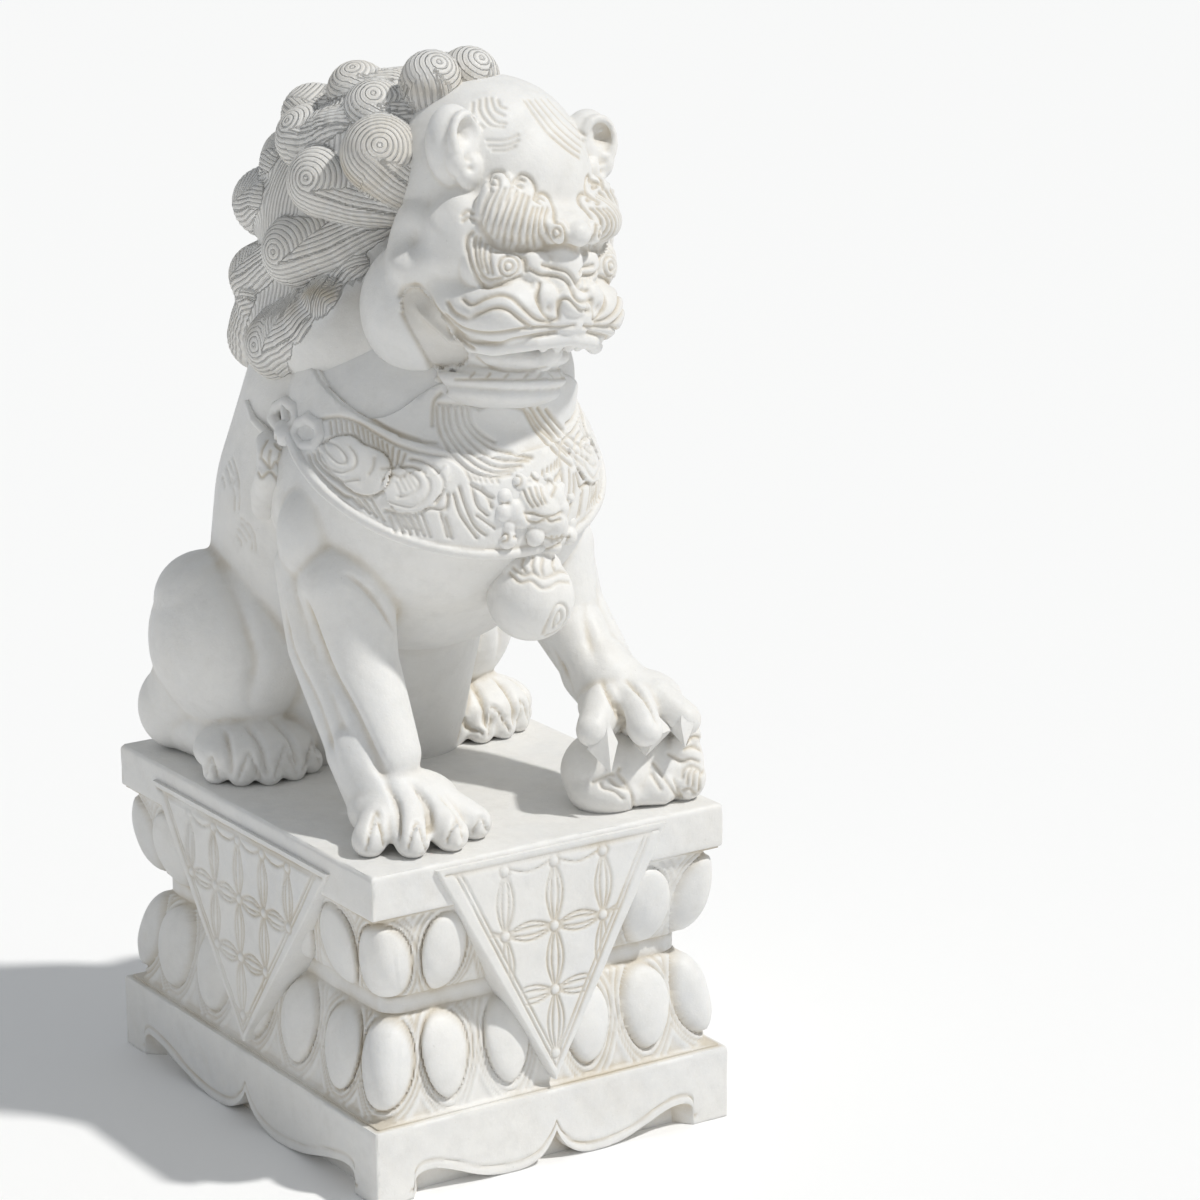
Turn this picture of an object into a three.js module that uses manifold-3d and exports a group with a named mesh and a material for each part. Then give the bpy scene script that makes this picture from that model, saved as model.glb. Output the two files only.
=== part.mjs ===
// Guardian lion of white marble, seated on its carved plinth with a paw on its cub.
// The whole statue is one block of stone, so it is one closed body.
// Millimetres, +Z up, the lion looks along -Y, and its cub is on the +X side.
// The origin is the middle of the underside.

import * as THREE from "three";
import { mergeVertices } from "three/addons/utils/BufferGeometryUtils.js";
import { edgeTable, triTable } from "three/addons/objects/MarchingCubes.js";
import Module from "manifold-3d";

// Plinth sizes
const plinthWidth = 560;
const plinthDepth = 720;
const slabThickness = 65;
const slabArris = 7;
const upperPetalHeight = 126;
const waistHeight = 25;
const lowerPetalHeight = 136;
const baseHeight = 108;
const baseOverhang = 4;
const waistInset = 45;
const petalSwell = 46;
const frontPetalWidth = 86;
const sidePetalWidth = 100;
const seamHeight = 4;
const apronDepth = 25;
const footLength = 55;
const cornerPetal = 41;
const archWidth = 38;
const archRise = 40;
const cuspRise = 45;
const clothThickness = 5;
const clothFrontWidth = 366;
const clothSideWidth = 500;
const clothTipLift = 12;
const clothSideDrop = 25;

// Lion sizes. The figure keeps its proportions: the forms below are drawn in units,
// of which its height has one thousand and forty, and they follow that height.
const figureHeight = 1040;
const bandRelief = 7;
const bandRim = 16;
const bellRadius = 60;
const clawLength = 30;
const headYaw = 9;
const headLift = 4.4;
const headLean = 7.5;
const carvingStep = 9.5;
const lionTriangles = 5600;

const wasm = await Module();
wasm.setup();

const heightUnits = 1040;
const unit = figureHeight / heightUnits;
const slabTop = baseHeight + lowerPetalHeight + waistHeight + upperPetalHeight + slabThickness;

// Solids and meshes

function toSolid(geometry) {
  const bare = new THREE.BufferGeometry();
  bare.setAttribute("position", geometry.getAttribute("position").clone());
  if (geometry.index) {
    bare.setIndex(geometry.index.clone());
  }
  const merged = mergeVertices(bare, 1e-3);
  const solid = new wasm.Manifold(new wasm.Mesh({
    numProp: 3,
    vertProperties: new Float32Array(merged.getAttribute("position").array),
    triVerts: new Uint32Array(merged.index.array),
  }));
  return solid;
}

function place(geometry, move, turn = [0, 0, 0], stretch = [1, 1, 1]) {
  const matrix = new THREE.Matrix4().compose(
    new THREE.Vector3(...move),
    new THREE.Quaternion().setFromEuler(new THREE.Euler(
      THREE.MathUtils.degToRad(turn[0]),
      THREE.MathUtils.degToRad(turn[1]),
      THREE.MathUtils.degToRad(turn[2]), "ZYX")),
    new THREE.Vector3(...stretch));
  return geometry.clone().applyMatrix4(matrix);
}

// The field: lumps of stone joined smoothly, and hollows taken away smoothly, in the
// figure's units. Negative inside. Each step changes only the box that it can reach.

const half = { x: plinthWidth / 2, y: plinthDepth / 2 };
const reach = { x: 0.268, y: 0.345 };
const step = carvingStep / unit;
const low = [-reach.x * heightUnits - 2 * step, -reach.y * heightUnits - 2 * step, -14];
const cells = [
  Math.ceil((2 * -low[0]) / step),
  Math.ceil((2 * -low[1]) / step),
  Math.ceil((1.04 * heightUnits) / step),
];
const points = cells.map((count) => count + 1);
const field = new Float32Array(points[0] * points[1] * points[2]).fill(80);

function smoothMin(a, b, blend) {
  if (blend <= 0) {
    return Math.min(a, b);
  }
  const h = Math.max(blend - Math.abs(a - b), 0) / blend;
  return Math.min(a, b) - (h * h * blend) / 4;
}

function sweep(box, reach, change) {
  const from = [];
  const to = [];
  for (let axis = 0; axis < 3; axis += 1) {
    from[axis] = Math.max(0, Math.floor((box[0][axis] - reach - low[axis]) / step));
    to[axis] = Math.min(points[axis] - 1,
      Math.ceil((box[1][axis] + reach - low[axis]) / step));
  }
  for (let k = from[2]; k <= to[2]; k += 1) {
    for (let j = from[1]; j <= to[1]; j += 1) {
      let at = (k * points[1] + j) * points[0] + from[0];
      for (let i = from[0]; i <= to[0]; i += 1, at += 1) {
        field[at] = change(field[at], low[0] + i * step,
          low[1] + j * step, low[2] + k * step);
      }
    }
  }
}

function turned(turn) {
  const matrix = new THREE.Matrix4().makeRotationFromEuler(new THREE.Euler(
    THREE.MathUtils.degToRad(turn[0]),
    THREE.MathUtils.degToRad(turn[1]),
    THREE.MathUtils.degToRad(turn[2]), "ZYX"));
  return matrix.elements;
}

function ballDistance(centre, radii, turn) {
  const m = turned(turn);
  return (x, y, z) => {
    const dx = x - centre[0];
    const dy = y - centre[1];
    const dz = z - centre[2];
    const a = (m[0] * dx + m[1] * dy + m[2] * dz) / radii[0];
    const b = (m[4] * dx + m[5] * dy + m[6] * dz) / radii[1];
    const c = (m[8] * dx + m[9] * dy + m[10] * dz) / radii[2];
    const k0 = Math.sqrt(a * a + b * b + c * c);
    const k1 = Math.sqrt((a / radii[0]) ** 2 + (b / radii[1]) ** 2 + (c / radii[2]) ** 2);
    return k1 > 1e-9 ? (k0 * (k0 - 1)) / k1 : -Math.min(...radii);
  };
}

function limbDistance(a, b, ra, rb) {
  const d = [b[0] - a[0], b[1] - a[1], b[2] - a[2]];
  const dd = d[0] * d[0] + d[1] * d[1] + d[2] * d[2];
  return (x, y, z) => {
    const px = x - a[0];
    const py = y - a[1];
    const pz = z - a[2];
    const t = Math.min(1, Math.max(0, (px * d[0] + py * d[1] + pz * d[2]) / dd));
    return Math.hypot(px - t * d[0], py - t * d[1], pz - t * d[2]) - ra - t * (rb - ra);
  };
}

function add(box, distance, blend) {
  sweep(box, blend + 2 * step, (old, x, y, z) => smoothMin(old, distance(x, y, z), blend));
}

function take(box, distance, blend) {
  sweep(box, blend + 2 * step, (old, x, y, z) => -smoothMin(-old, distance(x, y, z), blend));
}

function ballBox(centre, radii) {
  const r = Math.max(...radii);
  return [centre.map((c) => c - r), centre.map((c) => c + r)];
}

function limbBox(a, b, ra, rb) {
  return [
    a.map((v, i) => Math.min(v - ra, b[i] - rb)),
    a.map((v, i) => Math.max(v + ra, b[i] + rb)),
  ];
}

function ball(centre, radii, blend = 30, turn = [0, 0, 0]) {
  add(ballBox(centre, radii), ballDistance(centre, radii, turn), blend);
}

function hollow(centre, radii, blend = 10, turn = [0, 0, 0]) {
  take(ballBox(centre, radii), ballDistance(centre, radii, turn), blend);
}

function limb(a, b, ra, rb, blend = 25) {
  add(limbBox(a, b, ra, rb), limbDistance(a, b, ra, rb), blend);
}

function chain(stops, blend = 25) {
  for (let i = 1; i < stops.length; i += 1) {
    limb(stops[i - 1].slice(0, 3), stops[i].slice(0, 3), stops[i - 1][3], stops[i][3], blend);
  }
}

function groove(a, b, r, blend = 8) {
  take(limbBox(a, b, r, r), limbDistance(a, b, r, r), blend);
}

// Trunk, from the rump on the slab up to the deep chest

chain([[0, 206, 20, 140], [0, 200, 230, 194], [0, 152, 370, 198], [0, 92, 520, 182]], 40);
limb([54, 142, -10], [40, 120, 190], 92, 130, 40);
ball([0, -60, 436], [222, 232, 186], 60);
ball([0, -10, 320], [180, 180, 130], 60);
ball([0, 120, 180], [120, 110, 140], 50);

// Hind legs, folded, with the foot forward and the hock at the back

for (const side of [-1, 1]) {
  ball([side * 170, 214, 170], [108, 138, 128], 10, [0, 0, side * -6]);
  ball([side * 190, 236, 226], [76, 94, 74], 24);
  ball([side * 214, 300, 62], [58, 56, 64], 30);
  limb([side * 205, 285, 40], [side * 190, 160, 42], 44, 46, 25);
  ball([side * 182, 134, 38], [88, 78, 42], 25);
}

// Near foreleg, straight down to its paw on the slab

ball([-203, -78, 404], [42, 46, 62], 14);
chain([[-196, -62, 345, 46], [-200, -92, 240, 42], [-186, -160, 110, 38]], 20);
chain([[-172, -120, 330, 66], [-168, -150, 224, 52], [-160, -206, 110, 44]], 20);
chain([[-180, -170, 110, 50], [-166, -210, 52, 56]], 25);

// Far foreleg, reaching forward to the paw on the cub

ball([203, -78, 404], [42, 46, 62], 14);
chain([[190, -70, 345, 50], [196, -110, 240, 44], [196, -190, 170, 42]], 20);
chain([[160, -110, 330, 62], [160, -138, 240, 50], [176, -210, 160, 42]], 20);

// Toes. Each paw is a row of knuckled toes spread along an arc.

const claws = [];

function paw(heel, ahead, spread, toes, size, rise, blend, reach = 1) {
  const [x, y, z] = heel;
  for (let i = 0; i < toes; i += 1) {
    const angle = THREE.MathUtils.degToRad(ahead + spread * (i / (toes - 1) - 0.5));
    const out = [-Math.sin(angle), -Math.cos(angle)];
    const knuckle = [x + out[0] * size * 1.3, y + out[1] * size * 1.3, z + rise];
    const tip = [x + out[0] * size * 2.3, y + out[1] * size * 2.3, z - rise * 0.3];
    limb(knuckle, tip, size * 0.7, size * 0.56, blend);
    claws.push({ tip, out, size, reach });
  }
}

ball([-150, -226, 44], [80, 66, 50], 25);
paw([-148, -206, 36], 6, 96, 4, 44, 14, 10);
paw([-172, 156, 34], 14, 104, 5, 36, 14, 8);
paw([172, 156, 34], -14, 104, 5, 36, 14, 8);
chain([[176, -200, 170, 50], [196, -246, 130, 52]], 20);
ball([198, -252, 132], [78, 60, 46], 20);
paw([196, -232, 126], 4, 104, 4, 40, 12, 10, 1.7);

// Mane core, throat and neck

ball([0, 108, 640], [172, 168, 170], 40);
ball([0, 72, 780], [170, 170, 158], 40);
ball([0, 10, 888], [136, 150, 98], 40);

// The head has its own frame: out to the lion's right, forward, and up

const headOrigin = [60, -210, 905];
const headFrame = (() => {
  const yaw = THREE.MathUtils.degToRad(headYaw);
  const lift = THREE.MathUtils.degToRad(headLift);
  const lean = THREE.MathUtils.degToRad(headLean);
  const forward0 = new THREE.Vector3(Math.sin(yaw), -Math.cos(yaw), 0);
  const left0 = new THREE.Vector3(Math.cos(yaw), Math.sin(yaw), 0);
  const up0 = new THREE.Vector3(0, 0, 1);
  const forward = forward0.clone().multiplyScalar(Math.cos(lift)).addScaledVector(up0, Math.sin(lift));
  const up1 = forward0.clone().multiplyScalar(-Math.sin(lift)).addScaledVector(up0, Math.cos(lift));
  const left = left0.clone().multiplyScalar(Math.cos(lean)).addScaledVector(up1, -Math.sin(lean));
  const up = left0.clone().multiplyScalar(Math.sin(lean)).addScaledVector(up1, Math.cos(lean));
  return { right: left.negate(), forward, up };
})();

function headPoint(right, forward, up) {
  const p = new THREE.Vector3(...headOrigin)
    .addScaledVector(headFrame.right, right)
    .addScaledVector(headFrame.forward, forward)
    .addScaledVector(headFrame.up, up);
  return [p.x, p.y, p.z];
}

function headBall(at, radii, blend = 20) {
  ball(headPoint(...at), radii, blend, [-headLift, -headLean, headYaw]);
}

function headHollow(at, radii, blend = 8) {
  hollow(headPoint(...at), radii, blend, [-headLift, -headLean, headYaw]);
}

headBall([0, -66, -46], [138, 128, 142], 40);
headBall([0, -14, -40], [106, 96, 122], 30);
headBall([0, -70, -210], [140, 110, 130], 40);
limb(headPoint(0, -60, -300), [0, -60, 520], 118, 190, 50);
for (const side of [-1, 1]) {
  headBall([side * 46 + 8, 72, -94], [58, 42, 34], 14);
  headBall([side * 110, 22, -120], [34, 44, 60], 20);
  headBall([side * 132, -62, -130], [34, 46, 58], 18);
  headBall([side * 66, 52, -216], [62, 62, 44], 16);
  headBall([side * 40, 98, -196], [20, 18, 24], 8);
}
headBall([0, 96, -104], [38, 30, 26], 12);
headBall([0, 82, -160], [34, 36, 50], 14);
headBall([0, 108, -194], [34, 20, 24], 8);
headBall([0, 66, -218], [70, 56, 40], 14);
headBall([0, -26, -318], [102, 88, 32], 14);
headHollow([6, 34, -274], [104, 98, 24], 6);
for (const side of [-1, 1]) {
  headHollow([side * 142, -30, -240], [26, 26, 52], 10);
  headHollow([side * 84, 98, -150], [34, 30, 20], 10);
  headBall([side * 76, 60, -152], [26, 26, 22], 4);
}
headBall([0, -10, -286], [76, 74, 15], 4);
headBall([2, 58, -280], [14, 16, 14], 6);

// Curls of the mane. Each is a dome at its tip with a tail that flows to the face.

function maneAxis(z) {
  return z < 780 ? 72 + (780 - z) * 0.26 : 72 - (z - 780) * 0.36;
}

function manePoint(azimuth, z, radius) {
  const a = THREE.MathUtils.degToRad(azimuth);
  return [-radius * Math.sin(a), maneAxis(z) - radius * Math.cos(a), z];
}

function curl(azimuth, z, radius, size, tail = 42, drop = -12) {
  const sign = Math.sign(azimuth) || 1;
  const tip = manePoint(azimuth, z, radius);
  const back = manePoint(azimuth, z, radius - size * 0.62);
  const end = manePoint(azimuth - sign * tail, z - drop, radius - size * 0.7);
  limb(back, tip, size, size * 0.5, 8);
  limb(back, end, size, size * 0.62, 10);
}

const curlColumns = [
  [72, [[625, 186, 56, 6], [760, 188, 56, 2], [869, 188, 54, -8]]],
  [136, [[602, 182, 54, -2], [800, 190, 54, 2], [866, 164, 48, 8]]],
  [168, [[640, 186, 52, 4], [735, 190, 52, 0], [830, 178, 50, 4], [905, 146, 46, 0]]],
];
for (const side of [-1, 1]) {
  for (const [azimuth, stops] of curlColumns) {
    for (const [z, radius, size, shift] of stops) {
      curl(side * (azimuth + shift), z, radius, size);
    }
  }
  curl(side * 36, 922, 200, 60, 8, 10);
  curl(side * 98, 926, 130, 48);
  curl(side * 46, 972, 106, 50);
  curl(side * 12, 996, 136, 42, 10);
}
curl(178, 960, 60, 50, 20);

// Ears, round and cupped

for (const side of [-1, 1]) {
  headBall([side * 128, 0, 2], [34, 38, 48], 8);
  headHollow([side * 140, 32, 6], [16, 22, 28], 6);
}

// The cub under the far paw

ball([160, -258, 40], [62, 64, 58], 10);
ball([232, -276, 44], [46, 58, 54], 10);
ball([222, -316, 34], [30, 24, 30], 8);

// The harness: a band across the breast from shoulder to shoulder, with a rolled
// lower border, a bow and tassel on each shoulder, a beast mask and a round bell

function bandLow(y) {
  return 540 + 0.54 * y;
}

function bandTop(y) {
  return 627 + 0.42 * y;
}

function share(value) {
  return Math.min(1, Math.max(0, value));
}

function raise(box, height, part) {
  sweep(box, 0, (old, x, y, z) => old - height * share((-45 - y) / 50) * share(part(y, z)));
}

const breast = [[-250, -330, 350], [250, -20, 620]];
const relief = bandRelief / unit;
const rim = bandRim / unit;
raise(breast, relief, (y, z) => Math.min(z - bandLow(y), bandTop(y) - z) / relief + 0.5);
raise(breast, relief, (y, z) => 1 - ((z - bandLow(y)) / rim) ** 2);
for (const side of [-1, 1]) {
  ball([side * 210, -66, 532], [24, 26, 24], 6);
  chain([[side * 216, -52, 522, 17], [side * 220, -24, 492, 22], [side * 212, 30, 420, 24]], 6);
}
ball([6, -292, 446], [54, 36, 50], 6);
ball([-38, -288, 440], [18, 24, 52], 6);
ball([28, -318, 424], [28, 22, 20], 6);
const bell = bellRadius / unit;
ball([28, -268, 312], [bell, bell, bell], 6);
ball([28, -272, 350], [40, 38, 34], 6);

// Surface of the field, walked cell by cell

function polygonise() {
  const [nx, ny, nz] = points;
  const made = new Map();
  const vertices = [];
  const faces = [];
  const corner = [[0, 0, 0], [1, 0, 0], [0, 1, 0], [1, 1, 0], [0, 0, 1], [1, 0, 1], [0, 1, 1], [1, 1, 1]];
  const edges = [[0, 1], [1, 3], [2, 3], [0, 2], [4, 5], [5, 7], [6, 7], [4, 6], [0, 4], [1, 5], [3, 7], [2, 6]];
  const bits = [1, 2, 4, 8, 16, 32, 64, 128];
  const index = (i, j, k) => (k * ny + j) * nx + i;
  const bitOf = [0, 1, 3, 2, 4, 5, 7, 6];
  for (let k = 0; k < nz - 1; k += 1) {
    for (let j = 0; j < ny - 1; j += 1) {
      for (let i = 0; i < nx - 1; i += 1) {
        const at = corner.map((c) => index(i + c[0], j + c[1], k + c[2]));
        let cube = 0;
        for (let c = 0; c < 8; c += 1) {
          if (field[at[c]] < 0) {
            cube |= bits[bitOf[c]];
          }
        }
        if (edgeTable[cube] === 0) {
          continue;
        }
        const here = [];
        for (let e = 0; e < 12; e += 1) {
          if ((edgeTable[cube] & (1 << e)) === 0) {
            continue;
          }
          const [a, b] = edges[e];
          const [ia, ib] = [at[a], at[b]];
          const key = Math.min(ia, ib) * 4 + (e >= 8 ? 2 : e % 2);
          if (!made.has(key)) {
            const t = Math.min(0.98, Math.max(0.02, field[ia] / (field[ia] - field[ib])));
            const p = [0, 1, 2].map((axis) => low[axis] + step
              * ([i, j, k][axis] + corner[a][axis] + t * (corner[b][axis] - corner[a][axis])));
            made.set(key, vertices.length);
            vertices.push(p);
          }
          here[e] = made.get(key);
        }
        for (let t = cube * 16; triTable[t] !== -1; t += 3) {
          faces.push([here[triTable[t]], here[triTable[t + 2]], here[triTable[t + 1]]]);
        }
      }
    }
  }
  return { vertices, faces };
}

// Fewer, larger facets where the stone is flat: edges shrink away in order of
// the error that this leaves, and none may fold a facet over or pinch the body.

function thin(mesh, target) {
  const v = mesh.vertices;
  const f = mesh.faces;
  const quadrics = v.map(() => new Float64Array(10));
  const around = v.map(() => new Set());
  const normal = (a, b, c) => {
    const ux = b[0] - a[0];
    const uy = b[1] - a[1];
    const uz = b[2] - a[2];
    const wx = c[0] - a[0];
    const wy = c[1] - a[1];
    const wz = c[2] - a[2];
    return [uy * wz - uz * wy, uz * wx - ux * wz, ux * wy - uy * wx];
  };
  f.forEach((face, id) => {
    const [a, b, c] = face.map((n) => v[n]);
    const n = normal(a, b, c);
    const size = Math.hypot(...n) || 1e-12;
    const [x, y, z] = n.map((s) => s / size);
    const d = -(x * a[0] + y * a[1] + z * a[2]);
    const q = [x * x, x * y, x * z, x * d, y * y, y * z, y * d, z * z, z * d, d * d];
    for (const n0 of face) {
      around[n0].add(id);
      for (let i = 0; i < 10; i += 1) {
        quadrics[n0][i] += q[i] * size;
      }
    }
  });
  const cost = (q, p) => {
    const [x, y, z] = p;
    return q[0] * x * x + 2 * q[1] * x * y + 2 * q[2] * x * z + 2 * q[3] * x + q[4] * y * y
      + 2 * q[5] * y * z + 2 * q[6] * y + q[7] * z * z + 2 * q[8] * z + q[9];
  };
  const best = (q, a, b) => {
    const det = q[0] * (q[4] * q[7] - q[5] * q[5]) - q[1] * (q[1] * q[7] - q[5] * q[2])
      + q[2] * (q[1] * q[5] - q[4] * q[2]);
    const middle = a.map((s, i) => (s + b[i]) / 2);
    if (Math.abs(det) > 1e-3 * Math.abs(q[0] + q[4] + q[7]) ** 3 / 27) {
      const r = [-q[3], -q[6], -q[8]];
      const p = [
        (r[0] * (q[4] * q[7] - q[5] * q[5]) - q[1] * (r[1] * q[7] - q[5] * r[2])
          + q[2] * (r[1] * q[5] - q[4] * r[2])) / det,
        (q[0] * (r[1] * q[7] - q[5] * r[2]) - r[0] * (q[1] * q[7] - q[5] * q[2])
          + q[2] * (q[1] * r[2] - r[1] * q[2])) / det,
        (q[0] * (q[4] * r[2] - r[1] * q[5]) - q[1] * (q[1] * r[2] - r[1] * q[2])
          + r[0] * (q[1] * q[5] - q[4] * q[2])) / det,
      ];
      const span = Math.hypot(...a.map((s, i) => s - b[i]));
      if (Math.hypot(...p.map((s, i) => s - middle[i])) < 1.5 * span) {
        return p;
      }
    }
    return [a, b, middle].sort((s, t) => cost(q, s) - cost(q, t))[0];
  };
  const heap = [];
  const swap = (i, j) => {
    const held = heap[i];
    heap[i] = heap[j];
    heap[j] = held;
  };
  const push = (item) => {
    heap.push(item);
    let i = heap.length - 1;
    while (i > 0 && heap[(i - 1) >> 1].cost > heap[i].cost) {
      swap(i, (i - 1) >> 1);
      i = (i - 1) >> 1;
    }
  };
  const pop = () => {
    const top = heap[0];
    const last = heap.pop();
    if (heap.length) {
      heap[0] = last;
      let i = 0;
      for (;;) {
        let m = i;
        for (const c of [2 * i + 1, 2 * i + 2]) {
          if (c < heap.length && heap[c].cost < heap[m].cost) {
            m = c;
          }
        }
        if (m === i) {
          break;
        }
        swap(i, m);
        i = m;
      }
    }
    return top;
  };
  const stamp = new Int32Array(v.length);
  const alive = new Uint8Array(v.length).fill(1);
  const offer = (a, b) => {
    const q = quadrics[a].map((s, i) => s + quadrics[b][i]);
    const p = best(q, v[a], v[b]);
    push({ a, b, p, cost: cost(q, p), sa: stamp[a], sb: stamp[b] });
  };
  const ring = (a) => {
    const out = new Set();
    for (const id of around[a]) {
      for (const n of f[id]) {
        if (n !== a) {
          out.add(n);
        }
      }
    }
    return out;
  };
  v.forEach((_, a) => {
    for (const b of ring(a)) {
      if (a < b) {
        offer(a, b);
      }
    }
  });
  let left = f.length;
  while (left > target && heap.length) {
    const edge = pop();
    const { a, b, p } = edge;
    if (!alive[a] || !alive[b] || stamp[a] !== edge.sa || stamp[b] !== edge.sb) {
      continue;
    }
    const shared = [...around[a]].filter((id) => around[b].has(id));
    const ringA = ring(a);
    const common = [...ring(b)].filter((n) => ringA.has(n));
    if (shared.length !== 2 || common.length !== 2) {
      continue;
    }
    let folds = false;
    for (const [here, other] of [[a, b], [b, a]]) {
      for (const id of around[here]) {
        if (folds || around[other].has(id)) {
          continue;
        }
        const before = f[id].map((n) => v[n]);
        const after = f[id].map((n) => (n === here ? p : v[n]));
        const n0 = normal(...before);
        const n1 = normal(...after);
        const s0 = Math.hypot(...n0);
        const s1 = Math.hypot(...n1);
        const dot = n0[0] * n1[0] + n0[1] * n1[1] + n0[2] * n1[2];
        const longest = Math.max(
          Math.hypot(...after[0].map((s, i) => s - after[1][i])),
          Math.hypot(...after[1].map((s, i) => s - after[2][i])),
          Math.hypot(...after[2].map((s, i) => s - after[0][i])));
        folds = dot < 0.15 * s0 * s1 || s1 < 0.03 * longest * longest;
      }
    }
    if (folds) {
      continue;
    }
    for (const id of shared) {
      for (const n of f[id]) {
        around[n].delete(id);
      }
      f[id] = null;
    }
    left -= 2;
    for (const id of around[b]) {
      f[id] = f[id].map((n) => (n === b ? a : n));
      around[a].add(id);
    }
    around[b].clear();
    alive[b] = 0;
    v[a] = p;
    quadrics[a] = quadrics[a].map((s, i) => s + quadrics[b][i]);
    stamp[a] += 1;
    for (const n of ring(a)) {
      offer(a, n);
    }
  }
  const order = new Map();
  const vertices = [];
  const faces = f.filter(Boolean).map((face) => face.map((n) => {
    if (!order.has(n)) {
      order.set(n, vertices.length);
      vertices.push(v[n]);
    }
    return order.get(n);
  }));
  return { vertices, faces };
}

// The field ends flat just under the slab's top, so that the lion grows out of it,
// and at the figure's reach on every side, so that its surface closes
sweep([low, low.map((s) => -s + 2 * heightUnits)], 0, (old, x, y, z) => Math.max(
  old, -6 - z, z - 1.02 * heightUnits,
  Math.abs(x) - reach.x * heightUnits, Math.abs(y) - reach.y * heightUnits));

function lionSolid() {
  const mesh = thin(polygonise(), lionTriangles);
  const solid = new wasm.Manifold(new wasm.Mesh({
    numProp: 3,
    vertProperties: new Float32Array(mesh.vertices.flatMap(
      (p) => [p[0] * unit, p[1] * unit, p[2] * unit + slabTop])),
    triVerts: new Uint32Array(mesh.faces.flat()),
  }));
  return solid;
}

// Claws stand out of the toes as sharp cones that curve over to the slab

function clawSolids() {
  return claws.map(({ tip, out, size, reach }) => {
    const long = (clawLength / unit) * reach;
    const cone = new THREE.ConeGeometry(size * 0.36, long, 5);
    cone.rotateX(Math.PI);
    const lean = new THREE.Quaternion().setFromUnitVectors(
      new THREE.Vector3(0, -1, 0),
      new THREE.Vector3(out[0] * 0.62, out[1] * 0.62, -0.78).normalize());
    cone.applyQuaternion(lean);
    const down = Math.max(tip[2] - long * 0.28, long * 0.4 - 2);
    return toSolid(place(cone, [
      (tip[0] + out[0] * size * 0.3) * unit,
      (tip[1] + out[1] * size * 0.3) * unit,
      down * unit + slabTop], [0, 0, 0], [unit, unit, unit]));
  });
}

// Plinth

function stack(levels) {
  const positions = [];
  const indices = [];
  const corners = [[-1, -1], [1, -1], [1, 1], [-1, 1]];
  for (const [z, inset] of levels) {
    for (const [sx, sy] of corners) {
      positions.push(sx * (half.x - inset), sy * (half.y - inset), z);
    }
  }
  for (let i = 0; i + 1 < levels.length; i += 1) {
    for (let c = 0; c < 4; c += 1) {
      const a = i * 4 + c;
      const b = i * 4 + ((c + 1) % 4);
      indices.push(a, b, b + 4, a, b + 4, a + 4);
    }
  }
  const top = (levels.length - 1) * 4;
  indices.push(0, 2, 1, 0, 3, 2, top, top + 1, top + 2, top, top + 2, top + 3);
  const geometry = new THREE.BufferGeometry();
  geometry.setAttribute("position", new THREE.Float32BufferAttribute(positions, 3));
  geometry.setIndex(indices);
  return toSolid(geometry);
}

// The four faces: where each looks, how long it is, how far it is from the axis, and
// where its petals stand on each side of the cloth, as shares of its half length
const front = {
  length: plinthWidth, away: half.y, cloth: clothFrontWidth, drop: 0,
  petals: [0.225, 0.575], petalWidth: frontPetalWidth,
};
const side = {
  length: plinthDepth, away: half.x, cloth: clothSideWidth, drop: clothSideDrop,
  petals: [0.333, 0.66], petalWidth: sidePetalWidth,
};
const faces = [
  { turn: 0, ...front }, { turn: 90, ...side }, { turn: 180, ...front }, { turn: 270, ...side },
];

function petalSolids(from, to) {
  const height = to - from;
  const egg = new THREE.SphereGeometry(1, 10, 6);
  egg.rotateX(Math.PI / 2);
  const solids = [];
  for (const face of faces) {
    for (const along of face.petals.flatMap((share) => [-share, share])) {
      const centre = [(along * face.length) / 2, -face.away + petalSwell + 3, (from + to) / 2];
      const shape = place(egg, centre, [0, 0, 0], [face.petalWidth / 2, petalSwell, height * 0.54]);
      solids.push(toSolid(place(shape, [0, 0, 0], [0, 0, face.turn])));
    }
  }
  for (const sx of [-1, 1]) {
    for (const sy of [-1, 1]) {
      const centre = [sx * (half.x - cornerPetal), sy * (half.y - cornerPetal), (from + to) / 2];
      const wide = cornerPetal + baseOverhang * 0.5;
      solids.push(toSolid(place(egg, centre, [0, 0, 45], [wide, wide, height * 0.54])));
    }
  }
  return solids;
}

function clothSolid(face) {
  const top = slabTop - face.drop;
  const tip = baseHeight + clothTipLift;
  const shape = new THREE.Shape();
  shape.moveTo(-face.cloth / 2, top);
  shape.lineTo(0, tip);
  shape.lineTo(face.cloth / 2, top);
  const depth = waistInset + clothThickness + 2;
  const prism = new THREE.ExtrudeGeometry(shape, { depth, bevelEnabled: false });
  prism.rotateX(Math.PI / 2);
  prism.translate(0, -face.away - clothThickness + depth, 0);
  return toSolid(place(prism, [0, 0, 0], [0, 0, face.turn]));
}

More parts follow.
